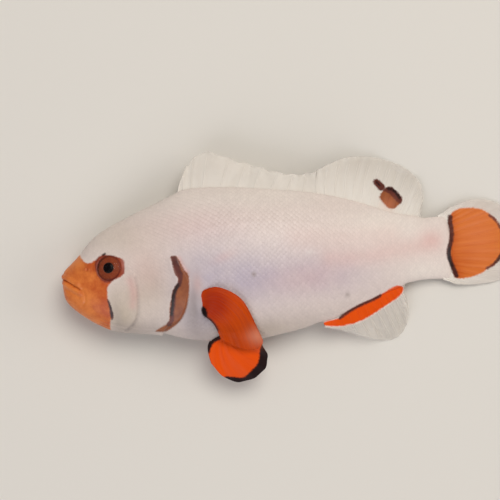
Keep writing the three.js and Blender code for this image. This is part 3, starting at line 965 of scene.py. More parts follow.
@dataclass(frozen=True)
class PearlFlesh:
    """Live fish skin: white pigment cells under a wet film of mucus, and thin bony scales with the same
    pigment. It gives a pearly white with soft lavender and pink tones, painted shade on the lower flank,
    in the head's creases and round each scale's rim, and a low broad shine.

    Args:
        name: The material's name.
        white: The ground colour.
        tones: Colour of each soft tone.
        pigments: The pigments over it.
    """

    name: str = "pearl_flesh"
    white: str = "#dfd0c8"
    # the shade tone's grey-mauve is painted shade on the lower flank and in the head's creases
    tones: tuple[tuple[Tone, str], ...] = (
        (Tone.CREAM, "#ebe2d8"), (Tone.CLAY, "#bbab92"), (Tone.COOL, "#baafba"), (Tone.SHADE, "#968a84"),
        (Tone.BLUSH, "#d8a39c"))
    pigments: Pigmentation = Pigmentation()

    MOTTLE = (5.0, 4.0, 0.5)  # size in millimetres, detail and roughness of the white's uneven density
    BLOTCH = (2.2, 5.0, 0.62)  # dense and thin areas of pigment
    GRAIN = (0.3, 2.0, 0.5)  # pores and the uneven wet film, drawn coarser than they are so that they show
    DIMPLE = (1.1, 1.0, 0.5)  # soft dimples of naked skin
    SCALE_SHADE = "#b3a29a"  # painted shade along the rim of each scale, where it drops to the skin under it

    def material(self) -> Material:
        """Builds the material."""
        material, tree = new_material(self.name)
        place = add_node(tree, "ShaderNodeTexCoord").outputs["Object"]
        mottle, grain, dimple, blotches = (
            add_node(tree, "ShaderNodeTexNoise", inputs={
                "Vector": place, "Scale": per_metre(size), "Detail": detail, "Roughness": rough,
            }) for size, detail, rough in (self.MOTTLE, self.GRAIN, self.DIMPLE, self.BLOTCH))
        patchy = add_node(tree, "ShaderNodeMapRange", inputs={
            "Value": mottle, "From Min": 0.3, "From Max": 0.7, "To Min": 0.75, "To Max": 1.15})
        colour = linear(self.white)
        for tone, hue in self.tones:
            strength = add_node(tree, "ShaderNodeMath", {"operation": "MULTIPLY", "use_clamp": True}, {
                "Value": attribute(tree, tone.value), "Value_001": patchy})
            colour = add_node(tree, *MIX, {
                "Factor_Float": strength, "A_Color": colour, "B_Color": linear(hue)})
        # painted shade: each scale darker towards its rim
        rim = add_node(tree, *SMOOTH, {
            "Value": attribute(tree, "rim"), "From Min": 0.7, "From Max": 1.0, "To Max": 0.16})
        rim_shaded = add_node(tree, *MIX, {
            "Factor_Float": rim, "A_Color": colour, "B_Color": linear(self.SCALE_SHADE)})
        painted = self.pigments.over(tree, rim_shaded, place, blotches)
        tint = add_node(tree, "ShaderNodeMapRange", inputs={
            "Value": attribute(tree, "tint"), "From Min": -1.0, "To Min": 0.972, "To Max": 1.028})
        varied = add_node(tree, "ShaderNodeHueSaturation", inputs={"Color": painted, "Value": tint})
        gloss = add_node(tree, "ShaderNodeMapRange", inputs={
            "Value": grain, "From Min": 0.3, "From Max": 0.7, "To Min": 0.36, "To Max": 0.5})
        soft = add_node(tree, "ShaderNodeBump", inputs={
            "Strength": 0.5, "Distance": 0.09 * MM, "Height": dimple})
        bump = add_node(tree, "ShaderNodeBump", inputs={
            "Strength": 0.5, "Distance": 0.035 * MM, "Height": grain, "Normal": soft})
        shader = add_node(tree, "ShaderNodeBsdfPrincipled", inputs={
            "Base Color": varied, "Roughness": gloss, "Normal": bump, "IOR": 1.4, "Coat Weight": 0.25,
            "Coat Roughness": 0.22, "Coat IOR": 1.36})
        add_node(tree, "ShaderNodeOutputMaterial", inputs={"Surface": shader})
        return material


@dataclass(frozen=True)
class FinMembrane:
    """Fin membrane and rays: wet tissue two cell layers thick over jointed horn-like rays. It is milky where
    it is thick and nearly clear at the edge, and pigment makes it opaque.

    Args:
        name: The material's name.
        milk: Colours of the unpigmented tissue, where it is thick and thin.
        blush: Colour where the pigment is thin over pale tissue.
        pigments: The pigments in it.
        rays: Whether it dresses rays, which are denser than the membrane.
    """

    name: str
    milk: tuple[str, str] = ("#f3eee6", "#e3dace")
    blush: str = "#e48a68"
    pigments: Pigmentation = Pigmentation(soft=0.22, cell=0.4)
    rays: bool = False

    STREAKS = 2.6  # streaks of tissue and pigment from one ray to the next

    def material(self) -> Material:
        """Builds the material. Its streaks follow the rays, in the fan coordinates kept on the mesh."""
        material, tree = new_material(self.name)
        place = add_node(tree, "ShaderNodeTexCoord").outputs["Object"]
        streaks = add_node(tree, "ShaderNodeTexNoise", inputs={
            "Vector": attribute(tree, "fan", "Vector"), "Scale": self.STREAKS, "Detail": 4.0,
            "Roughness": 0.6})
        thick, thin = map(linear, self.milk)
        milk = add_node(tree, *MIX, {"Factor_Float": streaks, "A_Color": thick, "B_Color": thin})
        softened = add_node(tree, "ShaderNodeMapRange", inputs={
            "Value": streaks, "To Min": 0.35, "To Max": 0.68})
        painted = self.pigments.over(tree, milk, place, softened)
        blushed = add_node(tree, *MIX, {
            "Factor_Float": attribute(tree, Tone.BLUSH.value), "A_Color": painted,
            "B_Color": linear(self.blush)})
        bump = add_node(tree, "ShaderNodeBump", inputs={
            "Strength": 0.35, "Distance": 0.05 * MM, "Height": streaks})
        shader = add_node(tree, "ShaderNodeBsdfPrincipled", inputs={
            "Base Color": blushed, "Roughness": 0.4, "Normal": bump, "IOR": 1.38,
            "Specular IOR Level": 0.14, "Coat Weight": 0.05, "Coat Roughness": 0.14, "Coat IOR": 1.36})
        film = attribute(tree, "film")
        if self.rays:
            film = add_node(tree, "ShaderNodeMapRange", inputs={
                "Value": film, "To Min": 0.35, "To Max": 1.0})
        clear = add_node(tree, "ShaderNodeBsdfTransparent")
        mixed = add_node(tree, "ShaderNodeMixShader", inputs={
            "Fac": film, "Shader": clear, "Shader_001": shader})
        add_node(tree, "ShaderNodeOutputMaterial", inputs={"Surface": mixed})
        return material


@dataclass(frozen=True)
class EyeTissue:
    """Iris and lens of a fish's eye: pigmented fibres that run out from the pupil, and a hard clear lens
    that looks black. It gives a dark red-brown disc with a thin pale ring round a glossy black centre.

    Args:
        name: The material's name.
        pupil: Radius of the pupil in millimetres.
        ring: Outer radius of the pale ring.
        iris: Outer radius of the iris.
    """

    name: str
    pupil: float
    ring: float
    iris: float

    FIBRES = 46.0  # fibres round the iris
    EDGE = 0.06  # half the width over which one colour of the eye gives way to the next

    def material(self) -> Material:
        """Builds the material. It reads the radius and the turn round the eye, which are kept on the mesh."""
        material, tree = new_material(self.name)
        radius = attribute(tree, "radius")
        fibres = add_node(tree, "ShaderNodeTexNoise", inputs={
            "Vector": attribute(tree, "fibre", "Vector"), "Scale": self.FIBRES / math.tau, "Detail": 3.0,
            "Roughness": 0.65})
        colour = add_node(tree, *MIX, {
            "Factor_Float": fibres, "A_Color": linear("#6f2c1e"), "B_Color": linear("#b85a36")})
        for edge, inner in ((self.ring, "#5a3f33"), (self.pupil, "#050407")):
            share = add_node(tree, *SMOOTH, {
                "Value": radius, "From Min": edge - self.EDGE, "From Max": edge + self.EDGE})
            colour = add_node(tree, *MIX, {
                "Factor_Float": share, "A_Color": linear(inner), "B_Color": colour})
        rim = add_node(tree, *SMOOTH, {"Value": radius, "From Min": self.iris - 0.3, "From Max": self.iris})
        dark = add_node(tree, *MIX, {"Factor_Float": rim, "A_Color": colour, "B_Color": linear("#7a3122")})
        relief = add_node(tree, "ShaderNodeMath", {"operation": "MULTIPLY"}, {
            "Value": fibres, "Value_001": share})
        bump = add_node(tree, "ShaderNodeBump", inputs={
            "Strength": 0.5, "Distance": 0.04 * MM, "Height": relief})
        shader = add_node(tree, "ShaderNodeBsdfPrincipled", inputs={
            "Base Color": dark, "Roughness": 0.3, "Normal": bump, "IOR": 1.4, "Specular IOR Level": 0.15})
        add_node(tree, "ShaderNodeOutputMaterial", inputs={"Surface": shader})
        return material


@dataclass(frozen=True)
class Cornea:
    """Clear wet cornea. It gives the eye its small bright highlights and nothing else."""

    name: str = "clear_cornea"

    IOR = 1.38
    SMEAR = 0.8  # size in millimetres of the wet film's duller patches

    def material(self) -> Material:
        """Builds the material."""
        material, tree = new_material(self.name)
        film = add_node(tree, "ShaderNodeTexNoise", inputs={
            "Vector": add_node(tree, "ShaderNodeTexCoord").outputs["Object"], "Scale": per_metre(self.SMEAR)})
        smear = add_node(tree, "ShaderNodeMapRange", inputs={"Value": film, "To Min": 0.02, "To Max": 0.08})
        gloss = add_node(tree, "ShaderNodeBsdfPrincipled", inputs={
            "Base Color": linear("#3a1a12"), "Roughness": smear, "IOR": self.IOR})
        clear = add_node(tree, "ShaderNodeBsdfTransparent")
        edge = add_node(tree, "ShaderNodeFresnel", inputs={"IOR": self.IOR})
        share = add_node(tree, "ShaderNodeMapRange", inputs={"Value": edge, "To Min": 0.02, "To Max": 0.6})
        mixed = add_node(tree, "ShaderNodeMixShader", inputs={
            "Fac": share, "Shader": clear, "Shader_001": gloss})
        add_node(tree, "ShaderNodeOutputMaterial", inputs={"Surface": mixed})
        return material


@dataclass(frozen=True)
class FloorCard:
    """Matt backdrop card: a plain warm pale grey with a faint paper tooth."""

    name: str = "backdrop_card"
    colour: str = "#ddd9d1"

    TOOTH = 0.6  # paper tooth, millimetres

    def material(self) -> Material:
        """Builds the material."""
        material, tree = new_material(self.name)
        tooth = add_node(tree, "ShaderNodeTexNoise", inputs={
            "Vector": add_node(tree, "ShaderNodeTexCoord").outputs["Object"],
            "Scale": per_metre(self.TOOTH), "Detail": 3.0})
        bump = add_node(tree, "ShaderNodeBump", inputs={
            "Strength": 0.2, "Distance": 0.03 * MM, "Height": tooth})
        shader = add_node(tree, "ShaderNodeBsdfPrincipled", inputs={
            "Base Color": linear(self.colour), "Roughness": 0.85, "Normal": bump})
        add_node(tree, "ShaderNodeOutputMaterial", inputs={"Surface": shader})
        return material


@dataclass(frozen=True)
class Eye:
    """An eye: a ball with iris and lens, and a clear cornea over it.

    Args:
        body: The body it sits in.
        side: Its side.
    """

    body: BodyShape
    side: Side

    PUPIL = 0.97
    RING = 1.07
    RADIUS = 2.3
    SIDES = 64
    SLOPE_STEP = 0.03  # how far from the eye's middle the head's slope is taken, about the eye's own radius
    FRONT = -0.8  # level above which the eye is painted by its radius, and below which it is plain iris
    FIBRE_LENGTH = 0.12  # how fast fibres change outwards, against how fast they change round the eye
    BALL = ((0, -2.4), (1.3, -2.15), (2.2, -1.2), (2.42, -0.6), (2.4, -0.2), (2.22, -0.05), (1.9, 0.0),
            (1.5, 0.05), (1.16, 0.08), (1.04, 0.03), (0.96, 0.1), (0.72, 0.21), (0.4, 0.28), (0, 0.3))
    DOME = ((0, 0.62), (0.6, 0.58), (1.2, 0.47), (1.8, 0.27), (2.15, 0.09), (2.38, -0.1), (2.34, -0.2),
            (2.08, 0.01), (1.7, 0.2), (1.15, 0.38), (0.6, 0.49), (0, 0.53))

    def seat(self) -> tuple[ndarray, ndarray]:
        """Where the eye sits and which way it looks.

        Returns:
            The centre on the head's surface, in millimetres of place, height and level, and the direction.
        """
        place, height = np.array(EYE_PLACE)[:, None]
        out = self.body.facing(place, height, self.side, self.SLOPE_STEP)[0]
        level = self.body.middle(place) + self.side.value * self.body.flank(place, height)
        length = self.body.fish.length
        return np.concatenate([place * length, height * length, level]), out

    def build(self, tissue: Material, cornea: Material) -> list[Object]:
        """Makes the ball and the cornea.

        Args:
            tissue: The ball's material.
            cornea: The cornea's material.

        Returns:
            The two pieces.
        """
        centre, out = self.seat()
        turn = np.array(Vector(out).to_track_quat("Z", "Y").to_matrix())
        label = self.side.name.lower()
        pieces = []
        for part, profile, rows, material, nodes in (("eyeball", self.BALL, 44, tissue, (f"eye_{label}",)),
                                                     ("cornea", self.DOME, 28, cornea, ())):
            shape, groups = lathe(profile, self.SIDES, rows)
            piece = make_piece(f"{part}_{label}", self.body.fish.metres(shape @ turn.T + centre), groups)
            radius = np.hypot(shape[:, 0], shape[:, 1])
            angle = np.arctan2(shape[:, 1], shape[:, 0])
            set_attribute(piece.data, "radius", np.where(shape[:, 2] > self.FRONT, radius, self.RADIUS))
            set_attribute(piece.data, "fibre", np.stack([np.cos(angle), np.sin(angle),
                                                         self.FIBRE_LENGTH * radius], 1))
            pieces.append(finish_piece(piece, nodes, material))
        return pieces


@dataclass(frozen=True)
class Fold:
    """A ridge along a line of the skin, or a groove where its height is negative.

    Args:
        height: How far it stands out of the skin, in millimetres.
        width: Over how many millimetres it fades.
        away: Its distance from the line.
    """

    height: float
    width: float
    away: float = 0.0

    def relief(self, distance: ndarray) -> ndarray:
        """Its height at each distance from the line."""
        return self.height * bell(distance - self.away, self.width)


@dataclass(frozen=True)
class Skin:
    """One skin over head, trunk and tail, with the folds and openings of the head in its shape.

    Args:
        body: The body under it.
        head_rings: Rings of vertices from the lips to behind the gill opening.
        trunk_rings: Rings from there to the end of the tail base.
        around: Vertices in a ring, a multiple of four.
    """

    body: BodyShape
    head_rings: int = 200
    trunk_rings: int = 150
    around: int = 224

    FLESH = ("head", "upper_jaw", "lower_jaw", "gill_cover_left", "gill_cover_right", "trunk", "tail")
    HEAD_END = 0.345
    HEAD_CROWDING = 1.5  # how much closer together the rings lie towards the lips
    LIPS = (Fold(0.3, 0.42, 0.62), Fold(0.24, 0.38, 0.55))  # upper and lower
    MOUTH_FOLDS = (Fold(-0.07, 0.22, 1.35), Fold(-0.45, 0.15))  # the lips' edge and the slit
    MOUTH_CORNER = (0.042, 0.058)  # where the lips fade out
    JAW_FOLD = Trace(((0.054, -0.02), (0.06, -0.035), (0.058, -0.055), (0.047, -0.066)))
    JAW_CREASE = Fold(-0.1, 0.2)
    NOSTRIL = (0.072, 0.028)
    NOSTRIL_FOLDS = (Fold(0.13, 0.15, 0.36), Fold(-0.35, 0.22))  # its rim and its pit
    EYE_FOLDS = (Fold(0.1, 0.3, 0.3), Fold(-0.05, 0.3, 0.95))  # rim and groove round the eyeball's edge
    SOCKET_DEPTH = 1.1
    SOCKET_WALL = 0.4
    EYE_REACH = 3  # how far above and below the eye's middle its socket reaches
    CHEEK_FOLDS = (Fold(0.09, 0.5, -0.45), Fold(-0.14, 0.2, 0.05))  # the plate and the groove behind it
    BONE_FOLDS = (Fold(0.1, 0.45, -0.35), Fold(-0.09, 0.2, 0.1))  # edge of the bony gill cover
    BONE_TOP = (0.02, 0.042)  # heights at which it fades out
    OPENING_TOP = (0.018, 0.043)  # heights at which the gill opening closes
    OPENING_REACH = 12  # how far from the opening the cover's rise is worked out
    OPENING_STEP = (-0.12, 0.16)  # the step down from the cover's edge
    COVER = (0.24, 2.8)  # height of the gill cover's edge, and how far forward it rises
    SHOULDER = (-0.34, 1.7)  # depth behind the edge, and how far back it lies
    THROAT = -0.1  # below this height the gill membranes fold
    THROAT_RUN = ((0.07, 0.12), (0.21, 0.26))
    THROAT_FOLDS = tuple(Fold(-0.11, 0.17, away) for away in (0.0, 0.95, 1.75, 2.5))
    LOBE = (0.352, -0.082)  # fleshy base of the pectoral fin
    LOBE_RADII = (0.017, 0.045)
    LOBE_HEIGHT = 0.55
    LOBE_FALL = 1.4  # how fast it falls off
    LATERAL_LINE = Trace(((0.31, 0.075), (0.4, 0.106), (0.5, 0.11), (0.6, 0.102), (0.7, 0.084), (0.8, 0.058)))
    LINE_RIDGE = Fold(0.05, 0.3)
    DORSAL_ROOT = Fold(0.45, 0.9)
    DORSAL_RUN = ((0.3, 0.34), (0.93, 0.96))
    ANAL_ROOT = Fold(0.4, 0.9)
    ANAL_RUN = ((0.655, 0.69), (0.87, 0.9))
    VENT = 0.65  # place of the vent
    VENT_PIT = Fold(-0.25, 0.35)
    MUSCLE = 0.02  # height of the muscle blocks
    MUSCLE_PITCH = 2.35  # millimetres from one to the next
    MUSCLE_SLANT = 0.55  # how far they lean back from the middle of the flank, as a slope
    MUSCLE_MIDDLE = 0.01  # height at which they bend
    MUSCLE_RUN = ((0.36, 0.5), (0.9, 1.0))
    SWELLS = ((5.5, 0.07), (1.9, 0.02))  # size and height of the slow unevenness of soft flesh
    RELIEF_RUN = ((0, 0.004), (1.0, 1.02))  # where the relief sets in and fades out
    PRESSED_FIN = Trace(((0.36, -0.04), (0.45, -0.035), (0.52, -0.05), (0.557, -0.09), (0.53, -0.125),
                         (0.46, -0.138), (0.38, -0.126), (0.358, -0.08)), closed=True)
    PRESSED_EDGE = (-0.7, 0.3)  # how far round that outline the skin makes room for the fin
    FLOOR_CLEARANCE = 0.1  # least level of the skin
    FIN_CLEARANCE = 0.62  # how much higher it lies over the fin
    TIP = 0.02  # how far the very tip stands out before the first ring

    def rings(self) -> ndarray:
        """Places of the rings, closer together on the head and closest at the lips."""
        head = self.HEAD_END * np.linspace(0, 1, self.head_rings + 1)[1:] ** self.HEAD_CROWDING
        trunk = np.linspace(self.HEAD_END, self.body.TAIL_END, self.trunk_rings + 1)[1:]
        return np.concatenate([head, trunk])

    def jaws(self, seen: ndarray) -> ndarray:
        """Height of lips, mouth slit and jaw fold above the plain skin, at each point of the side."""
        length = self.body.fish.length
        above = MOUTH.gap(seen, length)
        far = np.abs(above)
        mouth = np.where(above > 0, self.LIPS[0].relief(far), self.LIPS[1].relief(far))
        mouth += sum(fold.relief(far) for fold in self.MOUTH_FOLDS)
        crease = self.JAW_CREASE.relief(self.JAW_FOLD.gap(seen, length))
        return mouth * (1 - ease(seen[:, 0] / length, *self.MOUTH_CORNER)) + crease

    def nostrils(self, seen: ndarray) -> ndarray:
        """Height of the nostril's rim and depth of its pit."""
        away = np.hypot(*(seen - np.array(self.NOSTRIL) * self.body.fish.length).T)
        return sum(fold.relief(away) for fold in self.NOSTRIL_FOLDS)

    def orbit(self, points: ndarray, side: Side) -> ndarray:
        """Height of the rim round an eye and depth of its socket."""
        centre, out = Eye(self.body, side).seat()
        away = points - centre
        along = away @ out
        outside = np.linalg.norm(away - along[:, None] * out, axis=1) - Eye.RADIUS
        rim = sum(fold.relief(outside) for fold in self.EYE_FOLDS)
        socket = -self.SOCKET_DEPTH * (1 - ease(outside, -self.SOCKET_WALL, 0))
        return (np.abs(along) < self.EYE_REACH) * (rim + socket)

    def cheek(self, seen: ndarray) -> ndarray:
        """Relief of the preopercle, the gill cover's bony edge and the soft membrane behind it."""
        length = self.body.fish.length
        height = seen[:, 1] / length
        behind = PREOPERCLE.gap(seen, length)
        crease = GILL_CREASE.gap(seen, length)
        opening = GILL_OPENING.gap(seen, length, self.OPENING_REACH)
        plate = sum(fold.relief(behind) for fold in self.CHEEK_FOLDS)
        bone = sum(fold.relief(crease) for fold in self.BONE_FOLDS) * (1 - ease(height, *self.BONE_TOP))
        cover, shoulder = (rise * np.exp(-np.abs(opening) / run) for rise, run in (self.COVER, self.SHOULDER))
        step = ease(opening, *self.OPENING_STEP)
        low = 1 - ease(height, *self.OPENING_TOP)
        return plate + bone + low * (cover * (1 - step) + shoulder * step)

    def throat(self, seen: ndarray, spread: ndarray) -> ndarray:
        """Folds of the gill membranes under the throat, running back on both sides of the middle."""
        place, height = seen.T / self.body.fish.length
        folds = sum(fold.relief(np.abs(spread)) for fold in self.THROAT_FOLDS)
        return window(place, *self.THROAT_RUN) * (height < self.THROAT) * folds

    def trunk(self, seen: ndarray, spread: ndarray, rise: ndarray) -> ndarray:
        """Relief of the pectoral base, the lateral line, the fins' roots, the vent and the muscle blocks."""
        length = self.body.fish.length
        place = seen[:, 0] / length
        away = (seen / length - self.LOBE) / self.LOBE_RADII
        lobe = self.LOBE_HEIGHT * np.exp(-self.LOBE_FALL * (away**2).sum(1))
        line = self.LINE_RIDGE.relief(self.LATERAL_LINE.gap(seen, length))
        dorsal = self.DORSAL_ROOT.relief(spread) * (rise > 0) * window(place, *self.DORSAL_RUN)
        anal = self.ANAL_ROOT.relief(spread) * (rise < 0) * window(place, *self.ANAL_RUN)
        vent = self.VENT_PIT.relief(np.hypot(spread, seen[:, 0] - self.VENT * length)) * (rise < 0)
        slant = self.MUSCLE_SLANT * np.abs(seen[:, 1] - self.MUSCLE_MIDDLE * length)
        blocks = np.sin((seen[:, 0] - slant) * math.tau / self.MUSCLE_PITCH)
        return lobe + line + dorsal + anal + vent + self.MUSCLE * blocks * window(place, *self.MUSCLE_RUN)

    def swell(self, points: ndarray) -> ndarray:
        """Slow unevenness of soft flesh."""
        return np.array([sum(noise.noise(Vector(point) / size) * height for size, height in self.SWELLS)
                         for point in points])

    def shape(self) -> ndarray:
        """The skin's vertices.

        Returns:
            Millimetres of place, height and level for each ring and each vertex round it.
        """
        place, angle = np.meshgrid(self.rings(), np.arange(self.around) * math.tau / self.around,
                                   indexing="ij")
        plain = self.body.surface(place, angle)
        out = unit(np.cross(np.gradient(plain, axis=0), np.roll(plain, -1, 1) - np.roll(plain, 1, 1)))
        flat = plain.reshape(-1, 3)
        seen = flat[:, :2]
        spread = flat[:, 2] - self.body.middle(place.ravel())
        relief = self.jaws(seen) + self.nostrils(seen) + self.cheek(seen) + self.throat(seen, spread)
        relief += self.trunk(seen, spread, np.sin(angle).ravel()) + self.swell(flat)
        relief += self.orbit(flat, Side.LEFT) + self.orbit(flat, Side.RIGHT)
        relief = relief.reshape(place.shape) * window(place, *self.RELIEF_RUN)
        points = plain + out * relief[..., None]
        fin = self.PRESSED_FIN.gap(points.reshape(-1, 3)[:, :2], self.body.fish.length)
        floor = self.FLOOR_CLEARANCE + self.FIN_CLEARANCE * ease(fin, *self.PRESSED_EDGE).reshape(place.shape)
        over = points[..., 2] - floor
        points[..., 2] = floor + (over + np.sqrt(over**2 + self.FLOOR_CLEARANCE**2)) / 2
        return points

    def build(self, material: Material) -> Object:
        """Makes the skin.

        Args:
            material: Its material.

        Returns:
            The piece.
        """
        shape = self.shape()
        rows, columns = shape.shape[:2]
        points = self.body.fish.metres(np.vstack([shape.reshape(-1, 3), shape[0].mean(0) - (self.TIP, 0, 0)]))
        row, column = grid_corners(rows - 1, columns)
        ring = np.arange(columns)
        tip = fan_faces(ring, rows * columns)[:, ::-1]
        across = np.arange(columns // 2)
        last = (rows - 1) * columns
        strip = np.stack([across, across + 1, columns - 1 - across, columns - across], 1)[1:-1]
        ends = np.array([[0, 1, columns - 1], [columns // 2, columns // 2 + 1, columns // 2 - 1]])
        strip, ends = ((part + columns // 4) % columns for part in (strip, ends))
        spots = [np.stack([column, row * columns / rows], -1),
                 np.stack([np.array([0.5, 1, 0]) + ring[:, None], np.zeros((columns, 3))], -1),
                 *(np.stack([part, np.full(part.shape, columns)], -1) for part in (strip, ends))]
        groups = [row * columns + column % columns, tip, last + strip, last + ends]
        piece = make_piece("skin", points, groups, [spot / columns for spot in spots])
        BODY_MARKS.paint(piece.data, self.body.fish)
        return finish_piece(piece, self.FLESH, material)


@dataclass(frozen=True)
class ScalePlate:
    """One scale, one unit wide: a thin lens with a round rear edge and a narrower front end that hides
    under its neighbours. X runs to the rear."""

    REAR = 0.56
    HALF = 0.58
    FRONT = ((-0.3, 0.5), (-0.62, 0.36), (-0.85, 0.0), (-0.62, -0.36), (-0.3, -0.5))
    ARC = 6
    LIFT = 0.06
    SINK = -0.05
    CROWN = 0.015
    INNER = 0.78
    EDGE_DROP = 0.03  # how far the edge lies under the upper face, which gives the plate its thickness

    def outline(self) -> ndarray:
        """The edge, from one side round the rear to the other and back along the front."""
        turn = np.linspace(-math.pi / 2, math.pi / 2, self.ARC)
        arc = np.stack([self.REAR * np.cos(turn), self.HALF * np.sin(turn)], 1)
        return np.vstack([arc, np.array(self.FRONT)])

    def height(self, flat: ndarray) -> ndarray:
        """Height of the upper face over the skin, in scale widths."""
        front = self.FRONT[2][0]
        share = (flat[:, 0] - front) / (self.REAR - front)
        return self.SINK + (self.LIFT - self.SINK) * share - self.CROWN * (flat[:, 1] / self.HALF) ** 2

    def build(self, material: Material) -> Object:
        """Makes the plate flat, with its height and rim kept as attributes.

        Args:
            material: Its material.

        Returns:
            An object that only the scale tree uses.
        """
        edge = self.outline()
        count = len(edge)
        flat = np.vstack([edge, edge * self.INNER, (0.0, 0.0)])
        ring = np.arange(count)
        after = np.roll(ring, -1)
        quads = np.stack([ring, after, after + count, ring + count], 1)
        faces = [*quads.tolist(), *fan_faces(ring + count, 2 * count).tolist(), ring[::-1].tolist()]
        mesh = bpy.data.meshes.new("scale_plate")
        mesh.from_pydata(np.column_stack([flat, np.zeros(len(flat))]).tolist(), [], faces)
        mesh.update()
        mesh.shade_smooth()
        mesh.materials.append(material)
        height = self.height(flat)
        height[:count] -= self.EDGE_DROP
        set_attribute(mesh, "local", np.column_stack([flat, height]))
        set_attribute(mesh, "rim", np.concatenate([np.ones(count), np.full(count, self.INNER), [0.0]]))
        sharp = mesh.attributes.new("sharp_edge", "BOOLEAN", "EDGE")
        sharp.data.foreach_set("value", (read(mesh.edges, "vertices", 2, int) < count).all(1))
        return bpy.data.objects.new("scale_plate", mesh)


